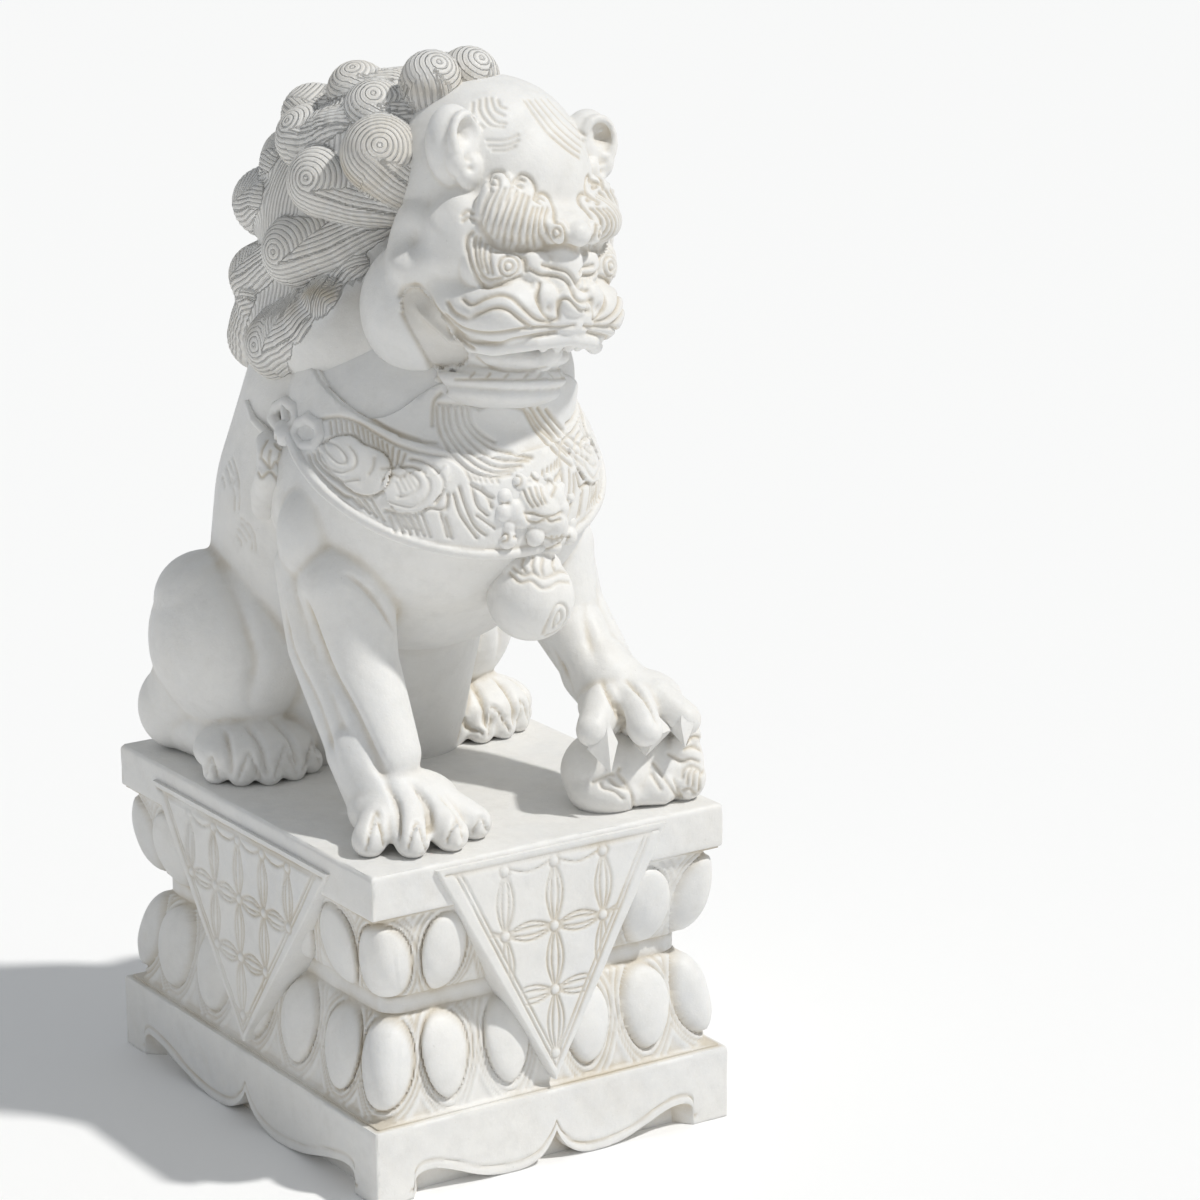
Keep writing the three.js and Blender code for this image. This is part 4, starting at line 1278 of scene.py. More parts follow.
@dataclass
class Mane:
    """The curled mane, one shell for each side of the lion.

    Strands lie a pitch apart. Each curl is a ball with a tail of smaller, buried ones.
    """

    pitch: float = 7.2
    depth: float = 2.3
    # Darkness of the grime and painted shade in the grooves between strands.
    grime_and_shade_amount: float = 0.3
    blend: float = 5.0
    core_blend: float = 9.0
    usual: float = 200.0
    balls: int = 8
    taper: float = 0.42
    sway: float = 7.0
    buried: float = 0.62
    crown: float = 0.78
    ruff_rad: float = 1.3
    round_mm: float = 150.0
    chin_deg: float = 150.0
    inside: float = 30.0
    level_below: float = 740.0
    level_fade: float = 200.0
    wobble: float = 0.7
    sharpness: float = 0.7
    centre: Point = (0.0, 60.0, 800.0)
    cores: tuple = (
        ((0, 108, 640), (168, 164, 168)),
        ((0, -8, 642), (186, 158, 112)),
        ((0, 72, 780), (166, 166, 158)),
        ((0, -22, 890), (142, 148, 106)),
    )
    curls: tuple = (
        Curl(35, 922, 54, 224, -30, 110),
        Curl(62, 869, 50, 205, -8, 170),
        Curl(72, 760, 50, 206, 14, 200),
        Curl(77, 625, 50, 206, 30, 190),
        Curl(98, 932, 46, 156, 14, 110),
        Curl(46, 979, 44, 132, -15, 70),
        Curl(13, 1022, 42, 146, -66, 90),
        Curl(84, 1004, 42, 84, 0, 60),
        Curl(134, 608, 50, 194, 14, 110),
        Curl(116, 706, 46, 196, 12, 110),
        Curl(138, 800, 50, 210, 10, 110),
        Curl(147, 868, 46, 188, 10, 100),
        Curl(172, 640, 48, 200, 40, 90),
        Curl(168, 735, 48, 206, 40, 90),
        Curl(172, 832, 46, 200, 40, 90),
        Curl(172, 905, 44, 176, 60, 80),
        Curl(140, 958, 46, 150, 20, 80),
        Curl(164, 962, 44, 112, 35, 60),
    )

    def axis_y(self, z: float) -> float:
        """Returns where the mane's axis is at a height."""
        return 72 + (780 - z) * 0.26 if z < 780 else 72 - (z - 780) * 0.36

    def core(self, rays: Rows) -> Rows:
        """Measures how far the mane's core reaches from its centre.

        Args:
            rays: directions from the centre.

        Returns:
            The reach along each ray.
        """
        c = np.array(self.centre)
        total = np.zeros(len(rays))
        for centre, radii in self.cores:
            r = np.array(radii, float)
            o = (c - np.array(centre, float)) / r
            d = rays / r
            a = (d * d).sum(1)
            b = (d * o).sum(1)
            k = (o * o).sum() - 1
            reach = (-b + np.sqrt(np.maximum(b * b - a * k, 0))) / a
            total += np.exp(reach / self.core_blend)
        return self.core_blend * np.log(total)

    def tip(self, curl: Curl, sign: int) -> Rows:
        """Places a curl's tip.

        Args:
            curl: the curl.
            sign: 1 for the lion's right side and -1 for its left.

        Returns:
            The tip, from the mane's centre.
        """
        a = math.radians(curl.azimuth) * sign
        return np.array([-curl.reach * math.sin(a),
                         self.axis_y(curl.z) - curl.reach * math.cos(a), curl.z]) - self.centre

    def facing(self, curl: Curl, sign: int, ray: Rows) -> Rows:
        """Faces a curl level when it is low, and away from the centre when it is high.

        Args:
            curl: the curl.
            sign: 1 for the lion's right side and -1 for its left.
            ray: the direction from the centre to its tip.

        Returns:
            The direction that it faces.
        """
        a = math.radians(curl.azimuth) * sign
        level = np.array([-math.sin(a), -math.cos(a), 0.12])
        share = float(np.clip((curl.z - self.level_below) / self.level_fade, 0, 1))
        out = level * (1 - share) + ray * share
        return out / np.linalg.norm(out)

    def ball_reach(self, rays: Rows, centre: Rows, radius: float) -> Rows:
        """Measures how far rays from the centre go to a ball's far side.

        Args:
            rays: the directions.
            centre: the ball's centre, from the mane's.
            radius: its radius.

        Returns:
            The reach along each ray, or nought.
        """
        b = rays @ centre
        k = b * b - (centre @ centre - radius * radius)
        return np.where((k > 0) & (b > 0), b + np.sqrt(np.maximum(k, 0)), 0.0)

    def relief(self, rays: Rows, sign: int) -> tuple[Rows, Rows, Rows]:
        """Lays the curls over the core: a ball for each, with a tail of smaller balls.

        Args:
            rays: directions from the centre.
            sign: 1 for the lion's right side and -1 for its left.

        Returns:
            The reach along each ray, the strand count there, and how strongly grime and painted shade
            darken it.
        """
        base = self.core(rays)
        total = np.exp((base - self.usual) / self.blend)
        highest = base + 1.5
        around = np.arctan2(-rays[:, 0] * sign, -rays[:, 1])
        strand = np.where((around > self.ruff_rad) | (rays[:, 2] > 0.1),
                          around * self.round_mm / self.pitch, NO_STRAND)
        strand = np.where(rays[:, 2] > self.crown, rays[:, 0] * base / self.pitch, strand)
        for curl in self.curls:
            tip = self.tip(curl, sign)
            high = np.linalg.norm(tip)
            ray = tip / high
            out = self.facing(curl, sign, ray)
            sunk = tip - out * curl.size - ray * (high - curl.size)
            up = np.array([0, 0, 1.0]) - out * out[2]
            up /= np.linalg.norm(up)
            ahead = np.cross(up, out) * sign
            flow = math.radians(curl.flow)
            along = ahead * math.cos(flow) + up * math.sin(flow)
            across = np.cross(out, along) * sign
            reach = np.zeros(len(rays))
            spine = []
            for t in np.linspace(0, 1, self.balls):
                radius = curl.size * (1 - self.taper * t)
                way = ray * high + along * curl.tail * t - across * self.sway * math.sin(3 * t)
                way /= np.linalg.norm(way)
                start = high - curl.size
                end = self.core(way[None])[0] - radius * self.buried
                far = start + (end - start) * min(1.0, t * 1.5) ** 0.8
                place = way * far + sunk * (1 - t)
                reach = np.maximum(reach, self.ball_reach(rays, place, radius))
                rib = place - tip
                spine.append((rib @ along, rib @ across, rib @ out + curl.size))
            w = rays * np.maximum(reach, 1)[:, None] - tip
            s, c, n = w @ along, w @ across, w @ out
            share = np.clip(s / curl.tail, 0, 1)
            gap = np.sqrt((w * w).sum(1))
            spine = np.array(spine)
            c = c - np.interp(s, spine[:, 0], spine[:, 1])
            n = n - np.interp(s, spine[:, 0], spine[:, 2])
            lower = (c < -0.36 * curl.size + 0.5 * np.maximum(s, 0)) & (s > 0)
            run = c * (1 + 0.3 * share)
            sweep = np.where(c < 0, np.hypot(run, 0.7 * n), 0)
            gap = np.where(lower, np.where(c < -0.3 * curl.size, sweep, 60 - run), gap)
            gap = gap + self.wobble * np.sin(s / 9 + curl.z) * np.sin(c / 13)
            wins = reach > highest
            highest[wins] = reach[wins]
            strand[wins] = gap[wins] / self.pitch + 0.5
            total += np.exp(np.clip((reach - self.usual) / self.blend, -60, 60))
        surface = self.usual + self.blend * np.log(total)
        locks = strand != NO_STRAND
        profile = np.abs(np.sin(np.pi * strand)) ** self.sharpness
        lift = np.where(locks, (profile - 1) * self.depth, 0)
        # Grooves between strands are darkened with grime and painted shade.
        cut = np.where(locks, 1 - profile, 0.0) * self.grime_and_shade_amount
        return surface + lift, strand, cut

    def shell(self, side: Side) -> tuple[bpy.types.Object, Rows, Rows]:
        """Builds one side of the mane as a closed shell.

        Args:
            side: which side of the lion.

        Returns:
            The object, its strand counts and its darkening by grime and painted shade.
        """
        sign = -side.value
        rows, columns = ((226, 262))
        polar = np.radians(np.linspace(0.0, 1.0, rows + 1) ** 0.92 * self.chin_deg)
        open_half = np.radians(np.linspace(0, 180, columns))
        closed = np.radians(np.linspace(196, 356, 9))
        azimuth = np.concatenate([open_half, closed])
        a, p = np.meshgrid(azimuth, polar[1:])
        rays = np.stack([-np.sin(p) * np.sin(a) * sign, -np.sin(p) * np.cos(a), np.cos(p)], -1)
        flat = rays.reshape(-1, 3)
        reach, strand, cut = self.relief(flat, sign)
        shut = np.tile(np.arange(len(azimuth)) >= columns, rows)
        reach = np.where(shut, self.inside, reach)
        pole = np.array([[0.0, 0.0, 1.0]])
        top, top_strand, _ = self.relief(pole, sign)
        points = np.vstack([pole * top[0], flat * reach[:, None], pole * -60]) + self.centre
        wide = len(azimuth)
        faces = []
        for i in range(wide):
            j = (i + 1) % wide
            faces.append((0, 1 + i, 1 + j))
            last = 1 + (rows - 1) * wide
            faces.append((last + j, last + i, len(points) - 1))
        index = 1 + np.arange(rows * wide).reshape(rows, wide)
        nxt = np.roll(index, -1, axis=1)
        quads = np.stack([index[:-1], index[1:], nxt[1:], nxt[:-1]], -1).reshape(-1, 4)
        faces += [tuple(q) for q in quads.tolist()]
        if sign < 0:
            faces = [f[::-1] for f in faces]
        obj = mesh_object(f"mane_{side.name.lower()}", metres(points), faces)
        return (obj, np.concatenate([top_strand, strand, [NO_STRAND]]),
                np.concatenate([[0.0], cut, [0.0]]))

    def build(self, marble: bpy.types.Material) -> None:
        """Builds and dresses both sides.

        Args:
            marble: the finish.
        """
        for side in Side:
            obj, strand, cut = self.shell(side)
            dress(obj, marble, cut, strand)


# The head


@dataclass
class Head:
    """The face, jaws and ears, in a frame of their own: right, forward and up."""

    setting: "Setting"
    origin: Point = (60, -210, 905)
    yaw: float = 9.0
    lift: float = 4.4
    lean: float = 7.5
    voxel: float = 0.0023
    rubs: int = 7
    skull_voxel: float = 0.005
    skull_rubs: int = 34
    corner_sunk_mm: float = 6
    # Darkness of the painted shade in the corners of the mouth.
    corner_painted_shade: float = 0.42

    def __post_init__(self) -> None:
        """Works the head's three directions out."""
        t, p, r = (math.radians(a) for a in (self.yaw, self.lift, self.lean))
        f0 = np.array([math.sin(t), -math.cos(t), 0])
        l0 = np.array([math.cos(t), math.sin(t), 0])
        u0 = np.array([0, 0, 1.0])
        f = math.cos(p) * f0 + math.sin(p) * u0
        u1 = -math.sin(p) * f0 + math.cos(p) * u0
        left = math.cos(r) * l0 - math.sin(r) * u1
        up = math.sin(r) * l0 + math.cos(r) * u1
        self.axes = np.stack([-left, f, up])

    def at(self, right: float, forward: float, up: float) -> Point:
        """Returns a point of the head in the lion's frame."""
        return tuple(np.array(self.origin, float) + np.array([right, forward, up]) @ self.axes)

    def mirrored(self, points: Rows) -> Rows:
        """Mirrors points in the head.

        Args:
            points: points in metres.

        Returns:
            The same points on the head's other side.
        """
        base = metres(self.origin)[0]
        local = (points - base) @ self.axes.T
        local[:, 0] *= -1
        return base + local @ self.axes

    def ball(self, rough: Rough, at: Point, radii: Point, tilt: float = 0.0) -> None:
        """Adds a ball whose radii run right, forward and up.

        Args:
            rough: what it is added to.
            at: its centre in the head's frame.
            radii: its radii.
            tilt: how far its right end is turned up, in degrees.
        """
        turn = Matrix([[self.axes[0][i], self.axes[1][i], self.axes[2][i]] for i in range(3)])
        if turn.determinant() < 0:
            turn = turn @ Matrix.Diagonal((-1, 1, 1))
            tilt = -tilt
        turn = turn @ Matrix.Rotation(math.radians(-tilt), 3, "Y")
        angles = [math.degrees(a) for a in turn.to_euler("XYZ")]
        rough.ball(self.at(*at), radii, tuple(angles))

    def roll(self, rough: Rough, *stops: tuple) -> None:
        """Adds a chain of limbs through points of the head, each with a radius."""
        rough.chain(*[(*self.at(*stop[:3]), stop[3]) for stop in stops])

    def skull(self) -> bpy.types.Object:
        """Roughs out the broad forms, rubbed smooth.

        Returns:
            The skull.
        """
        rough = Rough("skull")
        self.ball(rough, (4, -64, -24), (134, 124, 122))
        self.ball(rough, (0, -12, -46), (108, 98, 110))
        self.ball(rough, (0, -70, -200), (138, 112, 124))
        self.ball(rough, (0, 84, -102), (38, 40, 32))
        self.ball(rough, (0, 66, -212), (74, 60, 44))
        self.ball(rough, (0, 76, -156), (34, 40, 54))
        for side in (-1, 1):
            self.ball(rough, (side * 58, 60, -90), (60, 48, 38))
            self.ball(rough, (side * 112, 4, -116), (32, 50, 62))
            self.ball(rough, (side * 126, -54, -140), (36, 52, 62))
            self.ball(rough, (side * 64, 46, -210), (66, 68, 50))
            self.ball(rough, (side * 104, -4, -206), (40, 60, 46))
            self.ball(rough, (side * 92, -92, -212), (76, 84, 92))
        return rough.fuse(self.skull_voxel, self.skull_rubs)

    def build(self) -> bpy.types.Object:
        """Builds the head.

        Returns:
            The head. Its darkening by grime and painted shade is kept too.
        """
        skull = self.skull()
        rough = Rough("lion_head")
        rough.parts.append(skull)
        for side in (-1, 1):
            self.features(rough, side)
        self.ball(rough, (4, 112, -196), (26, 22, 20))
        self.ball(rough, (0, 112, -106), (20, 20, 18))
        self.ball(rough, (0, 108, -222), (30, 16, 18))
        self.ball(rough, (0, -30, -320), (93, 76, 27))
        self.ball(rough, (0, -8, -272), (80, 76, 22))
        self.ball(rough, (0, -16, -293), (80, 68, 15))
        self.roll(rough, (2, 58, -274, 15), (2, 80, -264, 11))
        for x in (-30, -10, 10, 30):
            self.ball(rough, (x, 98 - abs(x) * 0.3, -246), (9, 9, 16))
        obj = rough.fuse(self.voxel, self.rubs)
        chisel = Chisel(obj)
        self.hollows(chisel)
        chisel.finish()
        self.carve(chisel, Sight(self.setting, obj))
        chisel.finish()
        self.cut = chisel.cut
        return obj

    def features(self, rough: Rough, side: int) -> None:
        """Adds brow, eye, nostril, lips and ear of one side.

        Args:
            rough: what they are added to.
            side: -1 for the lion's left and 1 for its right.
        """
        self.ball(rough, (side * 88, 56, -72), (30, 24, 44), side * 24)
        self.ball(rough, (side * 62, 82, -92), (36, 26, 28))
        self.ball(rough, (side * 30, 106, -104), (17, 16, 17))
        self.ball(rough, (side * 78, 58, -152), (38, 30, 34))
        self.ball(rough, (side * 42, 70, -150), (28, 30, 34))
        self.ball(rough, (side * 100, 42, -148), (30, 30, 36))
        self.ball(rough, (side * 40, 96, -192), (21, 20, 25))
        self.roll(rough, (side * 140, -66, -182, 9), (side * 140, -30, -216, 10),
                  (side * 122, 14, -250, 11), (side * 88, 58, -256, 12),
                  (side * 46, 94, -246, 12), (0, 106, -240, 12))
        lip = [(side * 90 * math.cos(a), -44 + 92 * math.sin(a), -303, 9)
               for a in np.linspace(0, math.pi / 2, 8)]
        self.roll(rough, *lip)
        self.ball(rough, (side * 114, -6, 2), (40, 32, 54), side * -10)
        rim = [(side * (117 + 21 * math.cos(a)), 18 + 5 * math.cos(a), 12 + 29 * math.sin(a), 9)
               for a in np.linspace(-0.9, 3.4, 11)]
        self.roll(rough, *rim)
        self.ball(rough, (side * 106, 20, -30), (22, 15, 24), side * 16)
        self.ball(rough, (side * 128, 18, -16), (15, 14, 22), side * -14)

    def outer(self, points: Rows) -> Rows:
        """Returns which points lie on the outer part of the near side."""
        return ((points - metres(self.origin)[0]) @ self.axes.T)[:, 0] > 0.07

    def hollows(self, chisel: Chisel) -> None:
        """Sinks eye sockets, ears and nostrils.

        Args:
            chisel: what sinks them.
        """
        for side in (-1, 1):
            for at, radius, height in (
                ((side * 90, 76, -124), 12, -4), ((side * 120, 26, 20), 15, -15),
                ((side * 117, 34, -12), 7, -8), ((side * 116, 34, -26), 6, -6),
                ((side * 44, 118, -204), 8, -6),
            ):
                chisel.lump(self.at(*at), radius, height)

    def carve(self, chisel: Chisel, sight: Sight) -> None:
        """Cuts the fine lines of the face, on the side seen and on the other.

        Args:
            chisel: what cuts them.
            sight: the view of the face.
        """
        for px, py, radius, height in CHEEK_LUMPS:
            place = sight.hit(px, py)
            both = np.vstack([place[None], self.mirrored(place[None])]) * 1000
            for x, y, z in sight.nearest(both / 1000) * 1000:
                chisel.lump((x, y, z - SLAB_TOP_MM), radius, height)
        # The corners of the mouth are sunk and darkened with painted shade.
        for points in (chisel.co, self.mirrored(chisel.co)):
            inside = sight.within(points, MOUTH_CORNER) & (points[:, 1] < 0) & self.outer(points)
            chisel.co[inside] -= chisel.n[inside] * (self.corner_sunk_mm / 1000)
            chisel.cut[inside] = self.corner_painted_shade
        cuts = (
            (BROW_STRANDS, 2.5, 3.4), (BROW_OUTLINE, 2.7, 3.8), (BROW_FOOT, 4.0, 5.0),
            (EYE_LIDS, 3.2, 4.4), (EYE_CORNER, 2.5, 3.0), (EYE_RINGS, 2.4, 3.4),
            (WHISKERS, 3.4, 4.4), (LIP_LINES, 3.0, 3.8), (NOSTRIL, 3.0, 4.4),
            (CHEEK_WRINKLES, 3.0, 3.0), (MOUTH_FOLD, 3.8, 5.0), (MOUTH_FOLD_INNER, 3.4, 4.0),
            (LIP_NOTCHES, 2.2, 2.4), (FOREHEAD_SPIRAL, 2.4, 2.2),
        )
        base = metres(self.origin)[0]
        for group, width, depth in cuts:
            for path in map(sight.line, group):
                if path is None:
                    continue
                chisel.route(path, width, depth)
                own = path[((path - base) @ self.axes.T)[:, 0] > 0.008]
                if group is not FOREHEAD_SPIRAL and len(own) > 1:
                    chisel.route(sight.nearest(self.mirrored(own)), width, depth)


# The harness and the cub


@dataclass
class Harness:
    """Breast band, beast mask, bell, and a bow with its tassel on each shoulder."""

    setting: "Setting"
    body: bpy.types.Object
    relief: float = 6.5
    rim: float = 16.0
    skin: float = 4.8
    rim_rise: float = 13.0
    reach_deg: float = 118.0
    bib: float = 98.0
    bib_rad: float = 0.75
    below: float = 13.0
    sunk: float = -4.0
    bell: Point = (28, -268, 312)
    bell_radius: float = 59.0
    voxel: float = 0.0022
    rubs: int = 5
    cloud_rise: float = 0.0022
    keep: float = 0.58

    def low(self, y: Rows) -> Rows:
        """Returns the height of the band's lower border."""
        return 540 + 0.54 * y

    def top(self, y: Rows) -> Rows:
        """Returns the height of the band's upper border."""
        return 627 + 0.42 * y

    def chest(self, tree: BVHTree, angle: float, z: float) -> tuple[Rows, Rows]:
        """Finds the chest's surface.

        Args:
            tree: the body's faces.
            angle: the angle from the front.
            z: the height above the slab in millimetres.

        Returns:
            The place in metres, and its normal.
        """
        out = Vector((-math.sin(angle), -math.cos(angle), 0.0))
        axis = Vector((0.0, -0.06, (z + SLAB_TOP_MM) / 1000))
        place, normal, _, _ = tree.ray_cast(axis + out * 0.5, -out)
        return np.array(place), np.array(normal)

    def band(self) -> bpy.types.Object:
        """Models the band and the bib above it as one closed plate.

        Returns:
            The plate.
        """
        tree = Sight(self.setting, self.body).tree
        columns, rows = ((500, 116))
        front = []
        for angle in np.radians(np.linspace(-self.reach_deg, self.reach_deg, columns)):
            z = 480.0
            for _ in range(5):
                place, _ = self.chest(tree, angle, z)
                z = self.low(place[1] * 1000)
            bib = self.bib * math.exp(-((abs(angle) / self.bib_rad) ** 4))
            low = z - self.below
            place, _ = self.chest(tree, angle, z + 60)
            high = self.top(place[1] * 1000) + 6 + bib
            fade = float(np.clip((math.radians(self.reach_deg) - abs(angle)) / 0.12, 0, 1))
            for t in np.linspace(0, 1, rows):
                here = low + (high - low) * t
                place, normal = self.chest(tree, angle, here)
                y = place[1] * 1000
                over, under = here - self.low(y), self.top(y) - here
                plate = np.clip(min(over + 6, under + 1) / 3, 0, 1) * self.relief
                roll = self.rim_rise * math.exp(-((over / self.rim * 1.7) ** 4))
                edge = min(t, 1 - t) * rows / 1.5
                skin = self.skin if edge >= 1 else self.sunk + (self.skin - self.sunk) * edge
                rise = max(skin, (self.skin * 0.5 + plate) * fade, (roll + 2) * fade)
                if fade <= 0 or edge <= 0:
                    rise = self.sunk
                front.append(place + normal * rise / 1000)
        index = np.arange(columns * rows).reshape(columns, rows)
        quads = np.stack([index[:-1, :-1], index[:-1, 1:], index[1:, 1:], index[1:, :-1]], -1)
        faces = [tuple(q) for q in quads.reshape(-1, 4).tolist()]
        loop = ([index[i, 0] for i in range(columns)] + [index[-1, j] for j in range(1, rows)]
                + [index[i, -1] for i in range(columns - 2, -1, -1)]
                + [index[0, j] for j in range(rows - 2, 0, -1)])
        heart = columns * rows
        faces += [(int(b), int(a), heart) for a, b in zip(loop, loop[1:] + loop[:1])]
        obj = mesh_object("breast_harness", np.vstack([front, metres((0, -50, 520))]), faces)
        turn_outwards(obj)
        return obj

    def spot(self, sight: Sight, px: float, py: float, lift: float) -> Point:
        """Places a point that stands off the stone seen at a pixel.

        Args:
            sight: the view and the stone.
            px: the pixel's column.
            py: its row.
            lift: how far off the stone it stands, in millimetres.

        Returns:
            The point in millimetres above the slab.
        """
        hit = sight.hit(px, py)
        _, normal, _, _ = sight.tree.find_nearest(Vector(hit))
        place = (hit + np.array(normal) * lift / 1000) * 1000
        return (place[0], place[1], place[2] - SLAB_TOP_MM)

    def ornaments(self, sight: Sight) -> bpy.types.Object:
        """Roughs out mask, bell, bows and tassels.

        Args:
            sight: the view of the body.

        Returns:
            All of them as one object.
        """
        rough = Rough("ornaments")
        for px, py, radius, lift in MASK_BALLS:
            rough.ball(self.spot(sight, px, py, lift), (radius,) * 3)
        x, y, z = self.bell
        rough.ball(self.bell, (self.bell_radius,) * 3)
        rough.ball((x, y, z + 36), (44, 42, 34))
        rough.limb((x, y - 6, z + 60), (x - 2, y - 8, z + 96), 20, 20)
        for stops in BOW_CHAINS:
            places = [(*self.spot(sight, px, py, lift), radius) for px, py, radius, lift in stops]
            for sign in (1, -1):
                rough.chain(*[(sign * x, y, z, radius) for x, y, z, radius in places])
        return rough.fuse(self.voxel, self.rubs)

    def build(self, marble: bpy.types.Material) -> None:
        """Builds and dresses the harness.

        Args:
            marble: the finish.
        """
        obj = self.band()
        sight = Sight(self.setting, obj)
        chisel = Chisel(obj)
        for outline in CLOUD_SHAPES:
            for sign in (1, -1):
                inside = sight.within(chisel.co * [sign, 1, 1], outline)
                seen = inside & (chisel.n[:, 1] < 0.2)
                chisel.co[seen] += chisel.n[seen] * self.cloud_rise
        chisel.finish()
        for drawn, width, depth, both in (
            (BAND_CLOUD_NEAR, 2.6, 4.4, True), (BAND_TOP_NEAR, 2.6, 3.6, True),
            (BAND_HATCH_NEAR, 2.2, 3.4, True), (BAND_CLOUD_FRONT, 2.6, 4.4, True),
            (BAND_TOP_FRONT, 2.6, 3.6, True), (BAND_HATCH_FRONT, 2.2, 3.4, True),
            (BAND_MIDDLE, 2.6, 4.0, True), (BEARD, 2.8, 4.2, False), (CHEST_OVAL, 2.8, 3.6, False),
            (COLLAR, 3.0, 4.0, False),
        ):
            carve_lines(chisel, sight, drawn, width, depth, both)
        chisel.finish()
        extra = self.ornaments(Sight(self.setting, self.body))
        tool = Chisel(extra)
        sight = Sight(self.setting, extra)
        carve_lines(tool, sight, MASK_LINES, 2.2, 3.0)
        carve_lines(tool, sight, BELL_LINES, 2.6, 3.0)
        carve_lines(tool, sight, KNOT_LINES, 2.4, 2.8, both=True)
        tool.finish()
        # The grime and painted shade of the grooves go with both parts.
        write_attribute(obj, "cut", chisel.cut)
        write_attribute(extra, "cut", tool.cut)
        join(obj, [extra])
        cut = np.empty(len(obj.data.vertices), np.float32)
        obj.data.attributes["cut"].data.foreach_get("value", cut)
        dress(obj, marble, cut, keep=self.keep)


@dataclass
class Cub:
    """The cub on its back under the far paw."""

    setting: "Setting"
    voxel: float = 0.0026
    rubs: int = 9
    keep: float = 0.7

    def build(self, marble: bpy.types.Material) -> None:
        """Builds and dresses the cub.

        Args:
            marble: the finish.
        """
        rough = Rough("lion_cub")
        rough.ball((158, -258, 44), (68, 64, 58)).ball((146, -272, 26), (58, 54, 40))
        rough.ball((216, -274, 44), (44, 52, 52)).ball((206, -300, 26), (44, 34, 30))
        rough.ball((254, -288, 50), (30, 44, 46)).ball((248, -306, 30), (32, 34, 34))
        rough.ball((258, -300, 88), (20, 24, 18)).ball((240, -312, 76), (16, 16, 18))
        rough.ball((272, -272, 70), (16, 30, 30))
        rough.limb((176, -306, 20), (206, -318, 16), 18, 15)
        rough.ball((226, -240, 30), (50, 56, 34))
        obj = rough.fuse(self.voxel, self.rubs)
        set_coordinates(obj, np.maximum(coordinates(obj), [-9, -9, (SLAB_TOP_MM - 2) / 1000]))
        chisel = Chisel(obj)
        carve_lines(chisel, Sight(self.setting, obj), CUB_LINES, 2.8, 3.4)
        chisel.finish()
        dress(obj, marble, chisel.cut, keep=self.keep)


# The plinth


@dataclass(frozen=True)
class Face:
    """One upright face of the plinth. Lengths in millimetres, turn in degrees."""

    turn: float
    length: float
    away: float
    petals: tuple
    cloth: float
    drop: float
    pitch: float
    petal: float
    fine: bool


FACES = (
    Face(0, 560, 360, (-161, -63, 63, 161), 366, 0, 78, 35, True),
    Face(90, 720, 280, (-238, -120, 0, 120, 238), 500, 25, 70, 46, False),
    Face(180, 560, 360, (-161, -63, 63, 161), 366, 0, 78, 35, False),
    Face(270, 720, 280, (-238, -120, 0, 120, 238), 500, 25, 70, 46, True),
)


def turned(x: Rows, y: Rows, z: Rows, degrees: float) -> Rows:
    """Turns points about the upright axis.

    Args:
        x: their first coordinates.
        y: their second.
        z: their third.
        degrees: how far they are turned.

    Returns:
        One row for each point.
    """
    c, s = math.cos(math.radians(degrees)), math.sin(math.radians(degrees))
    return np.stack([x * c - y * s, x * s + y * c, z], 1)


